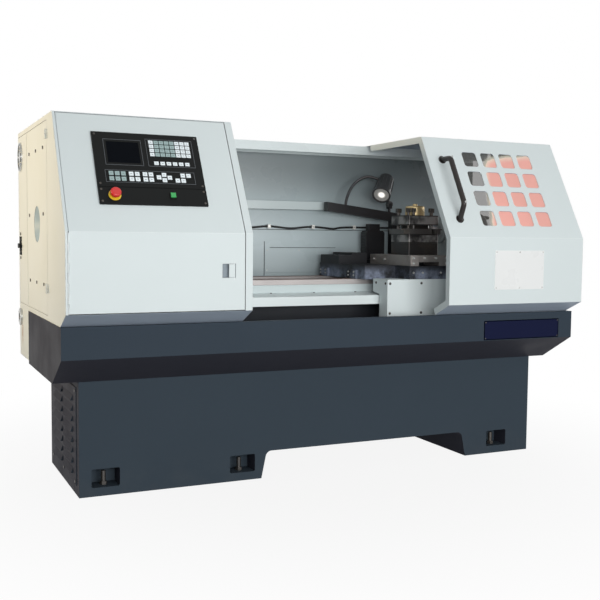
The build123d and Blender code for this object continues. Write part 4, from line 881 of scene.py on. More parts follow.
class Finish(Enum):
    """Finishes of the machine."""

    # Its left-facing faces are darkened: painted shade.
    SLATE = Paint(
        "slate_enamel", (0.046, 0.063, 0.081), 0.5, mottle=0.07, wave=0.5, wear=0.2, bare=(0.13, 0.14, 0.15),
        grime=0.03, grime_high=0.2, coat=0.0, specular=0.02, end=0.5, left_shade_colour=(0.026, 0.014, 0.026),
    )
    # Its down-facing and left-facing faces are darkened: painted shade.
    SLATE_TRAY = Paint(
        "slate_tray_enamel", (0.042, 0.057, 0.075), 0.46, mottle=0.06, wave=0.5, wear=0.2, bare=(0.15, 0.16, 0.17),
        grime=0.03, grime_low=0.47, grime_high=0.6, coat=0.0, specular=0.02,
        under=0.7, underside_shade_colour=(0.036, 0.032, 0.042), end=0.7,
    )
    PALE = Paint("pale_enamel", PALE_COLOUR, 0.42, **SHEET_COAT)
    HOOD = StreakedPaint("hood_enamel", PALE_COLOUR, 0.42, **SHEET_COAT)
    # Base colour darker than the rail: painted shade of the guard's inner face.
    GUARD = GuardPaint(
        "guard_enamel", (0.46, 0.545, 0.57), 0.3, mottle=0.02, wave=0.4, wear=0.06, bare=(0.8, 0.82, 0.82), coat=0.15,
        specular=0.3,
    )
    COVER = Paint(
        "cover_enamel", (0.76, 0.835, 0.84), 0.34, mottle=0.02, wear=0.1, bare=(0.8, 0.82, 0.82), coat=0.1,
        specular=0.2,
    )
    CASTING = Paint(
        "casting_enamel", (0.56, 0.61, 0.61), 0.42, mottle=0.05, peel=0.5, wave=0.6, depth=0.0008, wear=0.2, grime=0.2,
        grime_low=0.6, grime_high=0.9, coat=0.1,
    )
    BED = BedCasting(
        "bed_casting", (0.021, 0.024, 0.030), 0.5, mottle=0.06, peel=0.4, depth=0.0006, wear=0.1, coat=0.0, specular=0.1
    )
    BLACK = Paint(
        "black_enamel", (0.013, 0.013, 0.015), 0.42, mottle=0.14, wear=0.3, bare=(0.16, 0.16, 0.16),
        dust=(0.09, 0.08, 0.07), grime=0.25, grime_low=0.7, grime_high=1.05, coat=0.1, specular=0.25,
    )
    SADDLE = Paint(
        "saddle_enamel", (0.018, 0.019, 0.022), 0.42, mottle=0.12, wear=0.3, bare=(0.16, 0.16, 0.17),
        dust=(0.36, 0.42, 0.56), grime=0.9, grime_low=0.88, grime_high=0.94, coat=0.0, specular=0.15,
    )
    LAMP = Paint(
        "lamp_enamel", (0.075, 0.076, 0.078), 0.34, mottle=0.08, wear=0.1, bare=(0.2, 0.2, 0.2), coat=0.35, specular=0.5
    )
    # Dark strips at the guard's joints, standing in for their shadow lines: painted shadow.
    JOINT = Paint("seam_shadow_strip", (0.06, 0.066, 0.07), 0.6, mottle=0.2, wave=0.0, wear=0.0, coat=0.0, specular=0.1)
    MOTOR = Paint("motor_enamel", (0.10, 0.13, 0.16), 0.38, mottle=0.08, peel=0.3)
    DARK_STEEL = Metal("oiled_steel", (0.075, 0.072, 0.07), 0.4, oil=0.35, bright=0.5, metallic=0.7)
    SLIDE_STEEL = Metal("slide_steel", (0.34, 0.31, 0.295), 0.42, oil=0.4, bright=0.4, metallic=0.7)
    TURRET = TurretSteel("turret_steel", (0.022, 0.020, 0.020), 0.4, oil=0.3, bright=0.0, edge=0.0003, metallic=0.5)
    TOOL = Metal("tool_steel", (0.12, 0.115, 0.11), 0.36, oil=0.4, metallic=0.8)
    BRIGHT = Metal("ground_steel", (0.60, 0.60, 0.59), 0.24)
    TURNED = Metal("turned_steel", (0.58, 0.58, 0.57), 0.26, lines=(900.0, 6.0, 6.0))
    WHEEL = Metal("wheel_steel", (0.24, 0.24, 0.245), 0.42, lines=(900.0, 6.0, 6.0))
    CONDUIT = Metal("conduit_steel", (0.10, 0.10, 0.105), 0.38, lines=(80.0, 80.0, 80.0), oil=0.2, bright=0.2)
    ZINC = Metal("zinc_plate", (0.50, 0.51, 0.50), 0.36, lines=(60.0, 60.0, 60.0), oil=0.1)
    BRASS = Metal(
        "dull_brass", (0.62, 0.48, 0.25), 0.36, lines=(6.0, 6.0, 900.0), oil=0.3, bare=(0.7, 0.58, 0.34), metallic=0.6
    )
    BLACK_PLASTIC = Moulding("panel_plastic", (0.009, 0.010, 0.010), 0.5, specular=0.1)
    HANDLE = Moulding("handle_plastic", (0.014, 0.011, 0.010), 0.34, coat=0.1, specular=0.3)
    KEYS = KeyMembrane("key_membrane", (0.84, 0.92, 0.96), 0.45, specular=0.2)
    LEGEND = Moulding("key_legend", (0.16, 0.18, 0.20), 0.5, specular=0.1)
    LINE = Moulding("panel_line", (0.10, 0.11, 0.12), 0.5, specular=0.2)
    RED = Moulding("stop_red", (0.62, 0.020, 0.018), 0.28, coat=0.3)
    YELLOW = Moulding("ring_yellow", (0.78, 0.54, 0.03), 0.34, coat=0.2)
    GREEN = Moulding("start_green", (0.04, 0.38, 0.10), 0.34, coat=0.2)
    # Grey of the latch recess lining, dark enough to stand for the recess's shade: painted shade.
    CUP = Moulding("cup_grey", (0.28, 0.33, 0.37), 0.5, specular=0.2)
    SEAL = Moulding("seal_grey", (0.50, 0.56, 0.57), 0.6, specular=0.1)
    FUNNEL = Moulding("funnel_plastic", (0.42, 0.56, 0.66), 0.45, specular=0.3)
    WHITE_PLASTIC = Moulding("clip_white", (0.74, 0.74, 0.71), 0.4)
    RUBBER = Moulding("sheath_rubber", (0.016, 0.016, 0.017), 0.55, grain=300.0, depth=0.0001, specular=0.3)
    SCREEN = Glass("display_glass", (0.003, 0.004, 0.006), 0.25, coat=0.0, specular=0.02)
    LENS = Glass("lamp_lens", (0.30, 0.30, 0.29), 0.14, glow=1.5, ribs=140.0)
    PANE = Pane("guard_pane")
    NAVY = Paint("navy_enamel", (0.006, 0.009, 0.036), 0.4, mottle=0.06, wave=0.0, wear=0.0, coat=0.0, specular=0.06)
    WHITE_PLATE = Paint("white_enamel", (0.82, 0.84, 0.84), 0.3, mottle=0.01, wave=0.0, wear=0.1, coat=0.2)

    def material(self) -> bpy.types.Material:
        """Returns the finish's material, built at its first use."""
        found = bpy.data.materials.get(self.value.name)
        return found or self.value.make()


def dress(finish: Finish, *nodes: str) -> None:
    """Gives CAD nodes a finish in place of the material they were packed with.

    Args:
        finish: what they are made of.
        nodes: names of the nodes.
    """
    for node in nodes:
        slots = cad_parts[node].data.materials
        slots.clear()
        slots.append(finish.material())


def turn_to(axis: Sequence[float], spin: float = 0.0) -> Matrix:
    """Returns a turn that brings local Z onto an axis, after a spin about it."""
    return (Vector(axis).to_track_quat("Z", "Y").to_matrix() @ Matrix.Rotation(spin, 3, "Z")).to_4x4()


def spot(place: Sequence[float], axis: Sequence[float] = (0.0, 0.0, 1.0), spin: float = 0.0) -> Matrix:
    """Returns a place whose local Z looks along an axis."""
    return Matrix.Translation(Vector(place)) @ turn_to(axis, spin)


def turns(count: int) -> list[Matrix]:
    """Returns even turns about Z, one for each piece round a circle."""
    return [Matrix.Rotation(2 * math.pi * step / count, 4, "Z") for step in range(count)]


class Bench:
    """Bench on which one piece's mesh is put together, in metres in the machine's frame."""

    def __init__(self, name: str) -> None:
        """Starts an empty mesh."""
        self.name = name
        self.mesh = bmesh.new()

    def box(self, place: Matrix, size: Point, edge: float = 0.0, steps: int = 2) -> None:
        """Adds a box with rounded edges, centred on a place.

        Args:
            place: where the box's middle goes.
            size: its lengths along local X, Y and Z.
            edge: radius of its edges.
            steps: faces across each rounded edge.
        """
        scale = Matrix.Diagonal((*size, 1.0))
        made = bmesh.ops.create_cube(self.mesh, size=1.0, matrix=place @ scale)
        if edge:
            edges = list(dict.fromkeys(e for v in made["verts"] for e in v.link_edges))
            bmesh.ops.bevel(
                self.mesh, geom=edges, offset=edge, segments=steps, profile=0.5, affect="EDGES",
                clamp_overlap=True,
            )

    def turned(self, place: Matrix, profile: Profile, sides: int = 20, scale: float = 1.0) -> None:
        """Adds a turned body about local Z.

        Args:
            place: where the profile's origin goes.
            profile: (radius, height) points from the top middle outwards and down.
            sides: faces around.
            scale: size of one unit of the profile.
        """
        rings: list[list[bmesh.types.BMVert]] = []
        for radius, height in profile:
            count = sides if radius > 0 else 1
            ring = []
            for step in range(count):
                angle = 2 * math.pi * step / sides
                local = Vector((radius * math.cos(angle), radius * math.sin(angle), height)) * scale
                ring.append(self.mesh.verts.new(place @ local))
            rings.append(ring)
        for upper, lower in zip(rings, rings[1:]):
            self.join(upper, lower, sides)

    def join(self, upper: list, lower: list, sides: int) -> None:
        """Adds the faces between two rings, or between a point and a ring.

        Args:
            upper: the vertices of one ring, or one vertex.
            lower: the vertices of the other.
            sides: faces around.
        """
        for step in range(sides):
            after = (step + 1) % sides
            corners = [ring[turn % len(ring)] for ring, turn in (
                (upper, step), (lower, step), (lower, after), (upper, after)
            )]
            distinct = list(dict.fromkeys(corners))
            if len(distinct) > 2:
                self.mesh.faces.new(distinct)

    def heads(self, kind: Head, radius: float, places: Iterable[Matrix], sides: int = 20) -> None:
        """Adds a fastener head of one kind at each place."""
        for place in places:
            self.turned(place, kind.value, sides, radius)

    def pipe(self, points: Sequence[Vector], radius: Callable[[int], float], sides: int = 14) -> None:
        """Adds a tube along points, closed at both ends.

        Args:
            points: middle line.
            radius: radius at each point's number.
            sides: faces around.
        """
        rings = []
        across = Vector((0.0, 1.0, 0.0))
        for place, point in enumerate(points):
            before, after = points[max(place - 1, 0)], points[min(place + 1, len(points) - 1)]
            run = (after - before).normalized()
            first = (across - run * across.dot(run)).normalized()
            second = run.cross(first)
            ring = []
            for step in range(sides):
                angle = 2 * math.pi * step / sides
                off = first * math.cos(angle) + second * math.sin(angle)
                ring.append(self.mesh.verts.new(point + off * radius(place)))
            rings.append(ring)
        for upper, lower in zip(rings, rings[1:]):
            self.join(upper, lower, sides)
        self.mesh.faces.new(rings[0])
        self.mesh.faces.new(rings[-1][::-1])

    def frame_strip(self, place: Matrix, width: float, height: float, bar: float, thick: float) -> None:
        """Adds a flat rectangular frame of four bars on local Z.

        Args:
            place: where the frame's middle goes.
            width: its length along local X.
            height: its length along local Y.
            bar: width of each bar.
            thick: height of the bars.
        """
        for side in (-1, 1):
            across = place @ Matrix.Translation((0.0, side * (height - bar) / 2, thick / 2))
            upright = place @ Matrix.Translation((side * (width - bar) / 2, 0.0, thick / 2))
            self.box(across, (width, bar, thick), thick * 0.3, 1)
            self.box(upright, (bar, height - 2 * bar, thick), thick * 0.3, 1)

    def done(self, finish: Finish, body: Body | None) -> bpy.types.Object:
        """Turns the mesh into a piece.

        Args:
            finish: what it is made of.
            body: the body it rides on, or None for a piece left on no body.

        Returns:
            The piece.
        """
        bmesh.ops.recalc_face_normals(self.mesh, faces=self.mesh.faces)
        data = bpy.data.meshes.new(self.name)
        self.mesh.to_mesh(data)
        self.mesh.free()
        data.polygons.foreach_set("use_smooth", [True] * len(data.polygons))
        data.set_sharp_from_angle(angle=math.radians(35))
        data.materials.append(finish.material())
        piece = bpy.data.objects.new(self.name, data)
        bpy.context.scene.collection.objects.link(piece)
        if body is not None:
            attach(piece, body.value)
        LOG.info("%s: %d faces", self.name, len(data.polygons))
        return piece


def fasten(
    name: str,
    head: Head,
    radius: float,
    places: Iterable[Matrix],
    finish: Finish,
    body: Body,
    sides: int = 20,
) -> None:
    """Makes one piece of fastener heads of a kind.

    Args:
        name: name of the piece.
        head: kind of head.
        radius: radius of each head.
        places: where the heads sit.
        finish: what they are made of.
        body: the body they ride on.
        sides: faces around each head.
    """
    bench = Bench(name)
    bench.heads(head, radius, places, sides)
    bench.done(finish, body)


@dataclass
class Slope:
    """Sloping front of the hood or the door: X along, s up the slope, n out of the face."""

    y: float
    z: float
    run: float
    rise: float

    def place(self, x: float, s: float, n: float = 0.0) -> Matrix:
        """Finds a place on the slope.

        Args:
            x: along the machine.
            s: up the slope from its foot.
            n: out of the face.

        Returns:
            The place, with local Z out of the face.
        """
        length = math.hypot(self.run, self.rise)
        up = Vector((0.0, self.run / length, self.rise / length))
        out = Vector((0.0, -self.rise / length, self.run / length))
        spot_at = Vector((x, self.y, self.z)) + up * s + out * n
        turn = Matrix((Vector((1.0, 0.0, 0.0)), up, out)).transposed()
        return Matrix.Translation(spot_at) @ turn.to_4x4()


HOOD_SLOPE = Slope(-0.592, 1.079, 0.260, 0.464)
DOOR_SLOPE = Slope(-0.593, 1.071, 0.256, 0.462)
SPINDLE_AXIS = (0.047, 1.110)
LEFT = (-1.0, 0.0, 0.0)
RIGHT = (1.0, 0.0, 0.0)
FRONT = (0.0, -1.0, 0.0)
BACK = (0.0, 1.0, 0.0)
UP = (0.0, 0.0, 1.0)


@dataclass
class Stand:
    """Welded stand with its levelling bolts and vent cover."""

    def build(self) -> None:
        """Dresses the stand."""
        dress(Finish.SLATE, "base_stand", "vent_cover")
        dress(Finish.DARK_STEEL, "frame_screws", "levelling_bolts")


@dataclass
class ChipTray:
    """Chip tray with the bare navy plate on its front."""

    plate_border: float = 0.004
    plate_thick: float = 0.0008

    def build(self) -> None:
        """Dresses the tray and rims its plate."""
        dress(Finish.SLATE_TRAY, "chip_tray")
        dress(Finish.NAVY, "name_plate")
        low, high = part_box("name_plate")
        middle = (low + high) / 2
        bench = Bench("name_plate_rim")
        place = spot((middle.x, low.y, middle.z)) @ Matrix.Rotation(math.pi / 2, 4, "X")
        bench.frame_strip(place, high.x - low.x, high.z - low.z, self.plate_border, self.plate_thick)
        bench.done(Finish.NAVY, Body.FRAME)


@dataclass
class Hood:
    """Headstock hood with its end door, vent, lock and inlet."""

    end_x: float = -1.213
    vent: tuple[float, float] = (0.522, 1.428)
    inlet: tuple[float, float] = (0.546, 0.674)
    lock: tuple[float, float] = (0.537, 1.012)
    recess: tuple[float, float, float, float] = (-0.607, -0.551, 0.904, 0.959)
    seam_y: float = 0.323
    inlet_ring: float = 0.031
    bush: Profile = ((0.0, 0.001), (0.010, 0.001), (0.012, 0.004), (0.016, 0.006), (0.018, 0.003), (0.0185, 0.0))
    mesh_radius: float = 0.0615
    mesh_pitch: float = 0.0075
    wire: float = 0.0008
    surround: Point = (0.002, 0.058, 0.088)
    cup_depth: float = 0.016
    cup_skin: float = 0.0006
    seal_thick: float = 0.001
    seal_depth: float = 0.002
    slope_seals: tuple[tuple[float, float, float, float], ...] = (
        (-1.2016, 0.2645, 0.0022, 0.522),
        (-0.856, 0.5273, 0.690, 0.0018),
    )
    end_seals: tuple[float, float] = (1.5215, 0.7405)
    end_seal_middle: float = 0.186
    end_seal_size: tuple[float, float] = (0.790, 0.0024)
    funnel: Profile = ((0.050, 0.0), (0.0762, 0.022), (0.0766, 0.0216), (0.0506, -0.001), (0.050, 0.0))

    def build(self) -> None:
        """Dresses the hood and adds its fine fittings."""
        dress(Finish.HOOD, "hood_shell")
        dress(Finish.PALE, "electrical_cabinet", "front_door", "end_door", "latch_paddle")
        dress(Finish.ZINC, "cable_gland", "end_vent")
        dress(Finish.DARK_STEEL, "end_door_screws")
        dress(Finish.BLACK_PLASTIC, "lock_plate", "lock_handle")
        self.inlet_screws()
        self.vent_mesh()
        self.lock_screws()
        self.lock_surround()
        self.end_seam()
        self.latch_cup()
        self.seals()
        self.port_funnel()

    def inlet_screws(self) -> None:
        """Adds four screws round the cable inlet and the rubber bush in it."""
        y, z = self.inlet
        ring = [math.pi / 4 + turn * math.pi / 2 for turn in range(4)]
        off = [(self.inlet_ring * math.cos(angle), self.inlet_ring * math.sin(angle)) for angle in ring]
        places = [spot((self.end_x - 0.009, y + across, z + up), LEFT) for across, up in off]
        fasten("inlet_screws", Head.PAN, 0.0042, places, Finish.ZINC, Body.FRAME)
        bush = Bench("inlet_bush")
        bush.turned(spot((self.end_x - 0.003, y, z), LEFT), self.bush, 28)
        bush.done(Finish.RUBBER, Body.FRAME)

    def vent_mesh(self) -> None:
        """Adds the round woven mesh behind the vent's spokes."""
        y, z = self.vent
        bench = Bench("vent_mesh")
        radius, pitch, wire = self.mesh_radius, self.mesh_pitch, self.wire
        count = int(radius / pitch)
        for step in range(-count, count + 1):
            off = step * pitch
            half = math.sqrt(radius * radius - off * off)
            bench.box(Matrix.Translation((self.end_x + 0.0014, y + off, z)), (wire, wire, 2 * half))
            bench.box(Matrix.Translation((self.end_x + 0.0022, y, z + off)), (wire, 2 * half, wire))
        bench.done(Finish.ZINC, Body.END_DOOR)

    def lock_screws(self) -> None:
        """Adds the two flat screws of the lock plate."""
        y, z = self.lock
        places = [spot((self.end_x - 0.0043, y, z + side * 0.031), LEFT) for side in (-1, 1)]
        fasten("lock_screws", Head.FLAT, 0.004, places, Finish.ZINC, Body.END_DOOR)

    def lock_surround(self) -> None:
        """Adds the thin black plate that the lock sits on."""
        y, z = self.lock
        bench = Bench("lock_surround")
        bench.box(Matrix.Translation((self.end_x - self.surround[0] / 2, y, z)), self.surround)
        bench.done(Finish.BLACK_PLASTIC, Body.END_DOOR)

    def end_seam(self) -> None:
        """Adds the upright seam of the end door behind its screws."""
        low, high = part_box("end_door")
        bench = Bench("end_door_seam")
        bench.box(
            Matrix.Translation((self.end_x - 0.0003, self.seam_y, (low[2] + high[2]) / 2)),
            (0.0006, 0.0028, high[2] - low[2] - 0.008),
        )
        bench.done(Finish.SEAL, Body.END_DOOR)

    def latch_cup(self) -> None:
        """Adds the grey plastic lining of the latch recess; its grey stands in for the shade inside the recess, as
        painted shade.
        """
        left, right, low, high = self.recess
        front, depth, skin = HOOD_SLOPE.y, self.cup_depth, self.cup_skin
        middle_x, middle_z = (left + right) / 2, (low + high) / 2
        bench = Bench("latch_cup")
        bench.box(spot((middle_x, front + depth - skin, middle_z)), (right - left, skin, high - low))
        for x in (left + skin / 2, right - skin / 2):
            bench.box(spot((x, front + depth / 2 + skin, middle_z)), (skin, depth - 2 * skin, high - low))
        for z in (low + skin / 2, high - skin / 2):
            bench.box(spot((middle_x, front + depth / 2 + skin, z)), (right - left, depth - 2 * skin, skin))
        bench.done(Finish.CUP, Body.FRONT_DOOR)

    def seals(self) -> None:
        """Adds the pale seals in the gaps round the front door's slope and above and below the end door."""
        bench = Bench("door_seals")
        thick, deep = self.seal_thick, self.seal_depth
        for x, s, width, height in self.slope_seals:
            bench.box(HOOD_SLOPE.place(x, s, -deep), (width, height, thick))
        for z in self.end_seals:
            bench.box(spot((self.end_x + deep, self.end_seal_middle, z)), (thick, *self.end_seal_size))
        bench.done(Finish.SEAL, Body.FRAME)

    def port_funnel(self) -> None:
        """Adds the funnel that leads bar stock from the port to the spindle."""
        y, z = SPINDLE_AXIS
        bench = Bench("port_funnel")
        bench.turned(spot((self.end_x + 0.0235, y, z), LEFT), self.funnel, 64)
        bench.done(Finish.FUNNEL, Body.END_DOOR)


@dataclass
class ControlPanel:
    """Control panel on the hood's slope."""

    left: float = -1.074
    length: float = 0.427
    low: float = 0.117
    high: float = 0.441
    face: float = 0.009
    split: float = 0.191
    key_face: float = 0.0106
    mark: Point = (0.007, 0.0016, 0.0003)
    screw_inset: float = 0.011
    frames: tuple[tuple[float, float, float, float], ...] = (
        (0.116, 0.3495, 0.150, 0.119),
        (0.305, 0.3535, 0.192, 0.128),
        (0.212, 0.240, 0.356, 0.056),
    )
    grid_keys: tuple[float, float] = (0.231, 0.34475)
    grid_pitch: tuple[float, float] = (0.0212, 0.0192)
    row_keys: tuple[float, float] = (0.242, 0.30475)
    row_pitch: float = 0.0252
    low_keys: tuple[float, float] = (0.057, 0.228)
    low_pitch: tuple[float, float] = (0.0235, 0.024)
    group_gap: float = 1.31
    stop: tuple[float, float] = (0.060, 0.155)
    stop_rise: float = 0.021
    stop_radius: float = 0.0199
    stop_grips: int = 18
    jog: Profile = ((0, 0.5), (0.92, 0), (0.92, 1), (1.84, 0.5))
    cycle: Profile = ((0, 0), (1, 0), (1, 1), (2, 1))

    def build(self) -> None:
        """Dresses the panel and adds screws, frames and key marks."""
        dress(Finish.BLACK_PLASTIC, "control_panel")
        dress(Finish.SCREEN, "control_screen")
        dress(Finish.KEYS, "control_keys")
        dress(Finish.YELLOW, "e_stop_ring")
        dress(Finish.RED, "e_stop_button")
        dress(Finish.GREEN, "start_button")
        self.screws()
        self.raised_frames()
        self.key_marks()
        self.stop_grip()

    def at(self, along: float, s: float, n: float) -> Matrix:
        """Returns a place on the panel, with along from its left edge."""
        return HOOD_SLOPE.place(self.left + along, s, n)

    def screws(self) -> None:
        """Adds the corner screws of the upper and the lower plate."""
        inset = self.screw_inset
        rows = (self.low + inset, self.split - inset, self.split + 0.004 + inset, self.high - inset)
        places = [self.at(along, s, self.face) for s in rows for along in (inset, self.length - inset)]
        fasten("panel_screws", Head.FLAT, 0.0045, places, Finish.DARK_STEEL, Body.FRONT_DOOR)

    def raised_frames(self) -> None:
        """Adds the raised frames round the screen and the key fields."""
        bench = Bench("panel_frames")
        for along, s, width, height in self.frames:
            bench.frame_strip(self.at(along, s, self.face), width, height, 0.0022, 0.0008)
        bench.done(Finish.LINE, Body.FRONT_DOOR)

    def key_marks(self) -> None:
        """Adds a plain dash on each key in place of its legend."""
        bench = Bench("key_marks")
        (left, low), (across, up) = self.grid_keys, self.grid_pitch
        for column in range(8):
            for row in range(4):
                self.dash(bench, left + column * across, low + row * up)
        for place in range(6):
            self.dash(bench, self.row_keys[0] + place * self.row_pitch, self.row_keys[1])
        pairs = [[(column, row) for column in range(columns) for row in range(2)] for columns in (3, 2, 2)]
        (along, low), (across, up) = self.low_keys, self.low_pitch
        for group in (*pairs, self.jog, self.cycle):
            for column, row in group:
                self.dash(bench, along + column * across, low + row * up)
            along += (group[-1][0] + self.group_gap) * across
        bench.done(Finish.LEGEND, Body.FRONT_DOOR)

    def dash(self, bench: Bench, along: float, s: float) -> None:
        """Adds one printed dash to a key."""
        bench.box(self.at(along, s, self.key_face), self.mark)

    def stop_grip(self) -> None:
        """Adds the grip grooves round the stop button's cap."""
        bench = Bench("stop_grip")
        hub = self.at(*self.stop, self.face + self.stop_rise)
        for turn in turns(self.stop_grips):
            place = hub @ turn @ Matrix.Translation((self.stop_radius, 0.0, 0.0))
            bench.box(place, (0.0012, 0.0026, 0.008), 0.0005, 1)
        bench.done(Finish.RED, Body.STOP)


@dataclass
class Bedway:
    """Bed with ground ways, screw cover and drive."""

    cover_screws: int = 7
    cover_end: float = 0.05
    cover_lean: tuple[float, float] = (0.009, 0.134)
    cover_row: tuple[float, float] = (-0.150, 0.8081)
    chuck_bolt_ring: float = 0.078

    def build(self) -> None:
        """Dresses the bed, the headstock and the drive."""
        dress(Finish.BED, "bed")
        dress(Finish.COVER, "screw_cover")
        dress(Finish.CASTING, "headstock")
        dress(Finish.BLACK, "z_motor")
        dress(Finish.MOTOR, "main_motor")
        dress(Finish.RUBBER, "drive_belts")
        dress(Finish.DARK_STEEL, "spindle_pulley", "motor_pulley")
        dress(Finish.TURNED, "z_ball_screw", "spindle", "chuck_body")
        dress(Finish.BRIGHT, "chuck_jaw_1", "chuck_jaw_2", "chuck_jaw_3")
        self.screws()
        self.chuck_bolts()

    def screws(self) -> None:
        """Adds the row of screws that holds the cover to the bed."""
        low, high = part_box("screw_cover")
        step = (high.x - low.x - 2 * self.cover_end) / (self.cover_screws - 1)
        slope = math.atan2(*self.cover_lean)
        axis = (0.0, -math.sin(slope), math.cos(slope))
        along = [low.x + self.cover_end + n * step for n in range(self.cover_screws)]
        places = [spot((x, *self.cover_row), axis) for x in along]
        fasten("cover_screws", Head.PAN, 0.0055, places, Finish.DARK_STEEL, Body.FRAME)

    def chuck_bolts(self) -> None:
        """Adds the three bolts in the chuck's face, midway between the jaws."""
        _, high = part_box("chuck_body")
        axis_y, axis_z = SPINDLE_AXIS
        places = []
        for step in range(3):
            angle = math.radians(90 + 60 + 120 * step)
            y = axis_y + self.chuck_bolt_ring * math.cos(angle)
            z = axis_z + self.chuck_bolt_ring * math.sin(angle)
            places.append(spot((high.x, y, z), RIGHT))
        fasten("chuck_bolts", Head.SOCKET, 0.0085, places, Finish.DARK_STEEL, Body.SPINDLE)


@dataclass
class Carriage:
    """Saddle, apron, cross slide and cross motor."""

    screw: float = 0.0062
    gib_lift: float = 0.012
    wiper_columns: tuple[float, ...] = (-0.13, -0.075, 0.17, 0.225)
    wiper_rows: tuple[float, float] = (0.886, 0.902)
    lip_columns: tuple[float, ...] = (0.42, 0.47, 0.57, 0.62)
    lip_row: float = 0.905
    motor_ribs_count: int = 6
    rib_pitch: float = 0.015

    def build(self) -> None:
        """Dresses the carriage and adds its screws."""
        dress(Finish.SADDLE, "saddle")
        dress(Finish.BLACK, "x_motor")
        dress(Finish.PALE, "apron_cover")
        dress(Finish.SLIDE_STEEL, "cross_slide")
        self.apron_screws()
        self.slide_screws()
        self.saddle_screws()
        self.motor_ribs()

    def apron_screws(self) -> None:
        """Adds the apron's corner screws, in front and on its left side."""
        low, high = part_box("apron_cover")
        places = []
        for x in (low.x + 0.014, (low.x + high.x) / 2, high.x - 0.014):
            for z in (high.z - 0.018, low.z + 0.02):
                places.append(spot((x, low.y, z), FRONT))
        for y in (low.y + 0.018, high.y - 0.03):
            places.append(spot((low.x, y, high.z - 0.018), LEFT))
        fasten("apron_screws", Head.PAN, self.screw, places, Finish.DARK_STEEL, Body.CARRIAGE)

    def slide_screws(self) -> None:
        """Adds the bright socket screws along the cross slide and its gib."""
        low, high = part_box("cross_slide")
        middle = (low.z + high.z) / 2
        span = high.y - low.y
        sides = [spot((low.x, low.y + span * share, middle), LEFT) for share in (0.62, 0.9)]
        lift = self.gib_lift
        gib = [(share, rise) for share in (0.07, 0.93) for rise in (-lift, lift)] + [(0.36, lift), (0.65, lift)]
        front = [spot((low.x + (high.x - low.x) * share, low.y, middle + rise), FRONT) for share, rise in gib]
        fasten("slide_screws", Head.SOCKET, self.screw, sides + front, Finish.ZINC, Body.CROSS)

    def saddle_screws(self) -> None:
        """Adds the screws of the wipers and of the saddle's lip."""
        low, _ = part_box("saddle")
        places = [spot((low.x, y, z), LEFT) for y in self.wiper_columns for z in self.wiper_rows]
        lip = [spot((x, low.y, self.lip_row), FRONT) for x in self.lip_columns]
        fasten("saddle_screws", Head.SOCKET, 0.0048, places + lip, Finish.ZINC, Body.CARRIAGE)

    def motor_ribs(self) -> None:
        """Adds the cooling ribs of the cross motor."""
        low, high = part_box("x_motor")
        bench = Bench("x_motor_ribs")
        for step in range(self.motor_ribs_count):
            z = low.z + 0.014 + step * self.rib_pitch
            bench.box(Matrix.Translation((low.x - 0.001, (low.y + high.y) / 2, z)), (0.003, 0.044, 0.005), 0.001, 1)
        bench.done(Finish.BLACK, Body.CARRIAGE)


@dataclass
class Turret:
    """Four-way turret with its tools."""

    knurls: int = 48

    def build(self) -> None:
        """Dresses the turret and adds the fittings of its cap."""
        dress(Finish.TURRET, "turret_base", "turret_head")
        dress(Finish.DARK_STEEL, "clamp_bolts")
        dress(Finish.TOOL, "cutting_tools")
        dress(Finish.BRASS, "turret_cap")
        self.cap_dial()

    def cap_dial(self) -> None:
        """Adds the knurled ring and the centre screw of the brass cap."""
        low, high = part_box("turret_cap")
        middle = (low + high) / 2
        radius = (high.x - low.x) / 2
        bench = Bench("cap_knurl")
        bench.heads(Head.SOCKET, 0.012, [spot((middle.x, middle.y, high.z))])
        hub = Matrix.Translation((middle.x, middle.y, low.z + 0.011))
        for turn in turns(self.knurls):
            place = hub @ turn @ Matrix.Translation((radius, 0.0, 0.0))
            bench.box(place, (0.0016, 0.003, 0.016), 0.0006, 1)
        bench.done(Finish.BRASS, Body.TURRET)


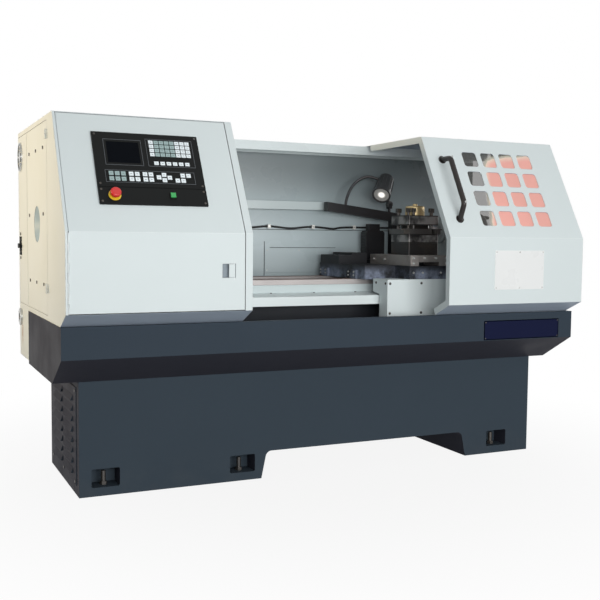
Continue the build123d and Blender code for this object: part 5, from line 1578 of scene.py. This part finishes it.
@dataclass
class Lamp:
    """Work lamp on its arm, with a ribbed conduit."""

    face: Point = (0.517, 0.130, 1.284)
    back: Point = (0.587, 0.203, 1.368)
    face_radius: float = 0.046
    back_radius: float = 0.040
    conduit: tuple[Point, ...] = (
        (0.349, 0.203, 1.231),
        (0.351, 0.203, 1.262),
        (0.386, 0.203, 1.334),
        (0.450, 0.203, 1.378),
        (0.505, 0.203, 1.380),
        (0.541, 0.203, 1.366),
    )
    conduit_radius: float = 0.0078
    groove: float = 0.84
    rim_thick: float = 0.0022
    ribs: int = 16

    def build(self) -> None:
        """Dresses the lamp and adds fins, rim and conduit."""
        dress(Finish.BLACK, "lamp_arm")
        dress(Finish.LAMP, "lamp_head")
        dress(Finish.LENS, "lamp_lens")
        self.fins()
        self.hose()

    def axis(self) -> tuple[Vector, float]:
        """Returns the lamp's axis from face to back, and its length."""
        run = Vector(self.back) - Vector(self.face)
        return run.normalized(), run.length

    def fins(self) -> None:
        """Adds the rim, the ribs round the body and the back cap of the lamp."""
        run, length = self.axis()
        bench = Bench("lamp_rim")
        front = spot(self.face, run)
        rim = self.face_radius
        outer = rim + self.rim_thick
        bench.turned(front, ((rim - 0.005, -0.004), (outer, -0.004), (outer, 0.012), (rim - 0.001, 0.014)), 40)
        bench.turned(front, ((rim - 0.001, 0.0), (rim - 0.005, -0.004)), 40)
        cap = spot(self.back, run)
        back = self.back_radius
        bench.turned(cap, ((0.0, 0.010), (back * 0.5, 0.0095), (back * 0.84, 0.006), (back, 0.0), (back, -0.004)), 32)
        mean = (self.face_radius + self.back_radius) / 2
        lean = Matrix.Rotation(math.atan2(self.back_radius - self.face_radius, length), 4, "Y")
        for turn in turns(self.ribs):
            place = front @ turn @ Matrix.Translation((mean, 0.0, length * 0.54)) @ lean
            bench.box(place, (0.005, 0.0022, length * 0.66), 0.0008, 1)
        bench.done(Finish.LAMP, Body.LAMP)

    def hose(self) -> None:
        """Adds the ribbed conduit in place of the CAD conduit, which it hides."""
        curve = bpy.data.curves.new("conduit_route", "CURVE")
        curve.dimensions = "3D"
        spline = curve.splines.new("NURBS")
        spline.points.add(len(self.conduit) - 1)
        for point, place in zip(spline.points, self.conduit):
            point.co = (*place, 1.0)
        spline.order_u = 3
        spline.use_endpoint_u = True
        curve.resolution_u = 26
        route = bpy.data.objects.new("conduit_route", curve)
        line = bpy.data.meshes.new_from_object(route)
        points = [vertex.co.copy() for vertex in line.vertices]
        bpy.data.objects.remove(route)
        bpy.data.curves.remove(curve)
        bpy.data.meshes.remove(line)
        bench = Bench("lamp_hose")
        bench.pipe(points, lambda place: self.conduit_radius * (1.0 if place % 2 else self.groove))
        hose = bench.done(Finish.CONDUIT, None)
        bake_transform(hose)
        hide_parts("lamp_conduit")


@dataclass
class Tailstock:
    """Tailstock behind the sliding door."""

    grip_profile: Profile = (
        (0.0, 0.062), (0.006, 0.061), (0.0085, 0.055), (0.0105, 0.036), (0.0085, 0.012), (0.006, 0.003), (0.0075, 0.0)
    )
    base_height: float = 0.096
    bolt_inset: tuple[float, float] = (0.025, 0.05)

    def build(self) -> None:
        """Dresses the tailstock and adds its crank grip and base bolts."""
        dress(Finish.CASTING, "tailstock_body")
        dress(Finish.TURNED, "tailstock_quill")
        dress(Finish.WHEEL, "tailstock_handwheel")
        dress(Finish.BLACK_PLASTIC, "tailstock_lever")
        self.grip()
        self.base_bolts()

    def grip(self) -> None:
        """Adds the turned grip of the handwheel."""
        low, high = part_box("tailstock_handwheel")
        bench = Bench("wheel_grip")
        place = spot((high.x, (low.y + high.y) / 2, high.z - 0.022), RIGHT)
        bench.turned(place, self.grip_profile, 24)
        bench.done(Finish.BLACK_PLASTIC, Body.HANDWHEEL)

    def base_bolts(self) -> None:
        """Adds the clamp bolts on the tailstock's base."""
        low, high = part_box("tailstock_body")
        top = low.z + self.base_height
        along, across = self.bolt_inset
        columns, rows = (low.x + along, high.x - along), (low.y + across, high.y - across)
        places = [spot((x, y, top), UP) for x in columns for y in rows]
        fasten("tail_bolts", Head.SOCKET, 0.012, places, Finish.DARK_STEEL, Body.TAILSTOCK, 6)


@dataclass
class SlidingDoor:
    """Sliding guard door with its window grid, handle and bare sign plate."""

    rivet_inset: float = 0.008
    handle_x: float = 0.532
    handle_ends: tuple[float, float] = (0.139, 0.375)
    handle_top: float = 0.0735

    def build(self) -> None:
        """Dresses the door and adds the sign's rivets and the handle's screws."""
        dress(Finish.PALE, "sliding_door")
        dress(Finish.PANE, "window_pane")
        dress(Finish.HANDLE, "door_handle")
        dress(Finish.WHITE_PLATE, "sign_plate")
        self.rivets()
        self.handle_screws()

    def rivets(self) -> None:
        """Adds the rivets of the sign plate."""
        low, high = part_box("sign_plate")
        inset = self.rivet_inset
        columns = (low.x + inset, (low.x + high.x) / 2, high.x - inset)
        places = [spot((x, low.y, z), FRONT) for x in columns for z in (low.z + inset, high.z - inset)]
        fasten("sign_rivets", Head.RIVET, 0.0042, places, Finish.ZINC, Body.SLIDING_DOOR)

    def handle_screws(self) -> None:
        """Adds the cap screw at each end of the handle."""
        places = [DOOR_SLOPE.place(self.handle_x, s, self.handle_top) for s in self.handle_ends]
        fasten("handle_screws", Head.SOCKET, 0.005, places, Finish.ZINC, Body.SLIDING_DOOR)


@dataclass
class RearGuard:
    """Rear guard with its channel, cable and access plate."""

    face_y: float = 0.306
    clips: tuple[float, ...] = (-0.300, -0.048, 0.198, 0.437)
    joints: tuple[tuple[float, float, float, float], ...] = (
        (-0.477, 1.195, 1.1005, 1.1035),
        (-0.0595, -0.0565, 0.868, 1.042),
        (-0.028, 0.345, 1.0092, 1.0118),
    )
    seam_shadow_thick: float = 0.0012
    plate_columns: Point = (-0.043, 0.135, 0.313)
    plate_rows: tuple[float, float] = (0.896, 0.997)
    clip_screw: tuple[float, float] = (0.008, 1.118)
    back_columns: int = 8
    back_inset: float = 0.04

    def build(self) -> None:
        """Dresses the guard and adds its screws and the dark strips at its joints, which are painted shadow lines."""
        dress(Finish.GUARD, "rear_guard")
        dress(Finish.RUBBER, "guard_cable")
        dress(Finish.WHITE_PLASTIC, "cable_clips")
        self.plate_screws()
        self.back_screws()
        self.seams()

    def plate_screws(self) -> None:
        """Adds the screws of the access plate and the clips."""
        bench = Bench("guard_screws")
        places = [spot((x, self.face_y - 0.002, z), FRONT) for x in self.plate_columns for z in self.plate_rows]
        bench.heads(Head.FLAT, 0.0036, places)
        low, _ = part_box("cable_clips")
        right, height = self.clip_screw
        clips = [spot((x + right, low.y, height), FRONT) for x in self.clips]
        bench.heads(Head.FLAT, 0.004, clips)
        bench.done(Finish.ZINC, Body.FRAME)

    def seams(self) -> None:
        """Adds dark strips at the joints between the guard's sheets and round its access plate, as painted shadow
        lines.
        """
        bench = Bench("guard_seams")
        thick = self.seam_shadow_thick
        for left, right, low, high in self.joints:
            middle = ((left + right) / 2, self.face_y - thick / 2, (low + high) / 2)
            bench.box(spot(middle), (right - left, thick, high - low))
        bench.done(Finish.JOINT, Body.FRAME)

    def back_screws(self) -> None:
        """Adds the rows of screws along the back of the guard."""
        low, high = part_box("rear_guard")
        step = (high.x - low.x - 2 * self.back_inset) / (self.back_columns - 1)
        along = [low.x + self.back_inset + n * step for n in range(self.back_columns)]
        places = [spot((x, high.y, z), BACK) for x in along for z in (high.z - self.back_inset, 0.745)]
        fasten("guard_back_screws", Head.PAN, 0.007, places, Finish.ZINC, Body.FRAME)


@dataclass
class Studio:
    """Floor, soft light and the photograph's camera."""

    eye: Point = (-1.8273, -3.9555, 1.0719)
    yaw: float = 24.826
    pitch: float = 4.040
    roll: float = 0.552
    lens: float = 54.63
    sky: float = 0.26
    floor_colour: Colour = (0.32, 0.32, 0.32)

    def build(self) -> None:
        """Sets up the studio."""
        self.camera()
        self.floor()
        self.world()
        self.lights()
        bpy.context.scene.view_settings.view_transform = "Standard"

    def camera(self) -> None:
        """Adds the camera at the photograph's place and angle."""
        data = bpy.data.cameras.new("photo_camera")
        data.lens = self.lens
        data.sensor_width = 36.0
        camera = bpy.data.objects.new("photo_camera", data)
        bpy.context.scene.collection.objects.link(camera)
        yaw, pitch, roll = (math.radians(a) for a in (self.yaw, self.pitch, self.roll))
        ahead = Vector((math.sin(yaw) * math.cos(pitch), math.cos(yaw) * math.cos(pitch), -math.sin(pitch)))
        right = Vector((math.cos(yaw), -math.sin(yaw), 0.0))
        up = right.cross(ahead)
        turned = right * math.cos(roll) + up * math.sin(roll)
        upright = up * math.cos(roll) - right * math.sin(roll)
        turn = Matrix((turned, upright, -ahead)).transposed().to_4x4()
        camera.matrix_world = Matrix.Translation(Vector(self.eye)) @ turn
        bpy.context.scene.camera = camera

    def floor(self) -> None:
        """Adds the pale floor, which keeps the shadow near the machine and fades to white."""
        bench = bmesh.new()
        bmesh.ops.create_grid(bench, x_segments=1, y_segments=1, size=60.0)
        data = bpy.data.meshes.new("studio_floor")
        bench.to_mesh(data)
        bench.free()
        floor = bpy.data.objects.new("studio_floor", data)
        bpy.context.scene.collection.objects.link(floor)
        data.materials.append(self.floor_material())

    def floor_material(self) -> bpy.types.Material:
        """Builds the floor's material.

        Returns:
            The material.
        """
        material = bpy.data.materials.new("studio_floor")
        material.use_nodes = True
        material.node_tree.nodes.clear()
        shader = Shader(material.node_tree)
        matt = shader.node("ShaderNodeBsdfDiffuse", {"Color": rgba(self.floor_colour)})
        white = shader.node("ShaderNodeEmission", {"Color": (1.0, 1.0, 1.0, 1.0), "Strength": 1.0})
        away = shader.node("ShaderNodeVectorMath", {0: shader.place()}, operation="LENGTH")
        far = shader.ramp(away.outputs["Value"], 0.6, 2.6, 0.9, 1.0)
        share = shader.times(far, self.seen(shader))
        mixed = shader.node("ShaderNodeMixShader", {0: share, 1: matt.outputs[0], 2: white.outputs[0]})
        shader.node("ShaderNodeOutputMaterial", {"Surface": mixed.outputs[0]})
        return material

    @staticmethod
    def seen(shader: Shader) -> Socket:
        """Tells where the camera looks, straight, by reflection or through glass.

        Args:
            shader: the nodes of the floor or the sky.

        Returns:
            1 there and 0 elsewhere.
        """
        path = shader.node("ShaderNodeLightPath").outputs
        direct = shader.calc("MAXIMUM", path["Is Camera Ray"], path["Is Glossy Ray"])
        return shader.calc("MAXIMUM", direct, path["Is Transmission Ray"])

    def world(self) -> None:
        """Sets a white backdrop and an even sky for the light."""
        world = bpy.data.worlds.new("studio_sky")
        bpy.context.scene.world = world
        world.use_nodes = True
        world.node_tree.nodes.clear()
        shader = Shader(world.node_tree)
        strength = shader.ramp(self.seen(shader), 0.0, 1.0, self.sky, 1.0)
        light = shader.node("ShaderNodeBackground", {"Color": (1.0, 1.0, 1.0, 1.0), "Strength": strength})
        shader.node("ShaderNodeOutputWorld", {"Surface": light.outputs[0]})

    def lights(self) -> None:
        """Adds the soft lamps: front, fill beside the camera, warm left, top, rear and right."""
        self.lamp("front_light", (0.45, -5.9, 1.1), (0.1, 0.0, 0.95), (3.8, 1.8), 170.0, (1.0, 0.995, 0.985))
        self.lamp("fill_light", (-1.7, -4.6, 1.5), (0.9, 0.2, 1.15), (0.9, 0.9), 38.0, (1.0, 1.0, 1.0))
        self.lamp("left_light", (-5.4, 0.6, 1.6), (-1.2, 0.15, 1.5), (1.6, 1.2), 15.5, (1.0, 0.76, 0.47), 50.0)
        self.lamp("top_light", (0.6, -1.4, 4.2), (0.2, 0.0, 1.0), (2.6, 2.0), 8.0, (1.0, 1.0, 1.0))
        self.lamp("rear_light", (1.2, 4.6, 3.6), (0.0, 0.2, 1.2), (3.6, 2.0), 190.0, (0.97, 0.98, 1.0))
        self.lamp("right_light", (5.0, -0.6, 2.0), (1.1, 0.0, 1.0), (1.6, 1.6), 45.0, (1.0, 1.0, 1.0))

    @staticmethod
    def lamp(
        name: str,
        place: Point,
        aim: Point,
        size: tuple[float, float],
        power: float,
        colour: Colour,
        spread: float = 180.0,
    ) -> None:
        """Adds one area lamp.

        Args:
            name: name of the lamp.
            place: where it hangs.
            aim: the point it looks at.
            size: width and height of its face.
            power: watts.
            colour: tint of its light.
            spread: width of its beam in degrees.
        """
        data = bpy.data.lights.new(name, "AREA")
        data.shape = "RECTANGLE"
        data.size, data.size_y = size
        data.energy = power
        data.color = colour
        data.spread = math.radians(spread)
        lamp = bpy.data.objects.new(name, data)
        bpy.context.scene.collection.objects.link(lamp)
        lamp.location = place
        lamp.rotation_mode = "QUATERNION"
        lamp.rotation_quaternion = (Vector(aim) - Vector(place)).to_track_quat("-Z", "Y")


def main() -> None:
    """Builds the studio and the machine's sub-assemblies in order."""
    logging.basicConfig(level=logging.INFO, format="%(name)s %(message)s")
    assemblies = (
        Studio(),
        Stand(),
        ChipTray(),
        Hood(),
        ControlPanel(),
        Bedway(),
        Carriage(),
        Turret(),
        Lamp(),
        Tailstock(),
        SlidingDoor(),
        RearGuard(),
    )
    for assembly in assemblies:
        assembly.build()
        LOG.info("%s built", type(assembly).__name__)


if __name__ == "__main__":
    main()
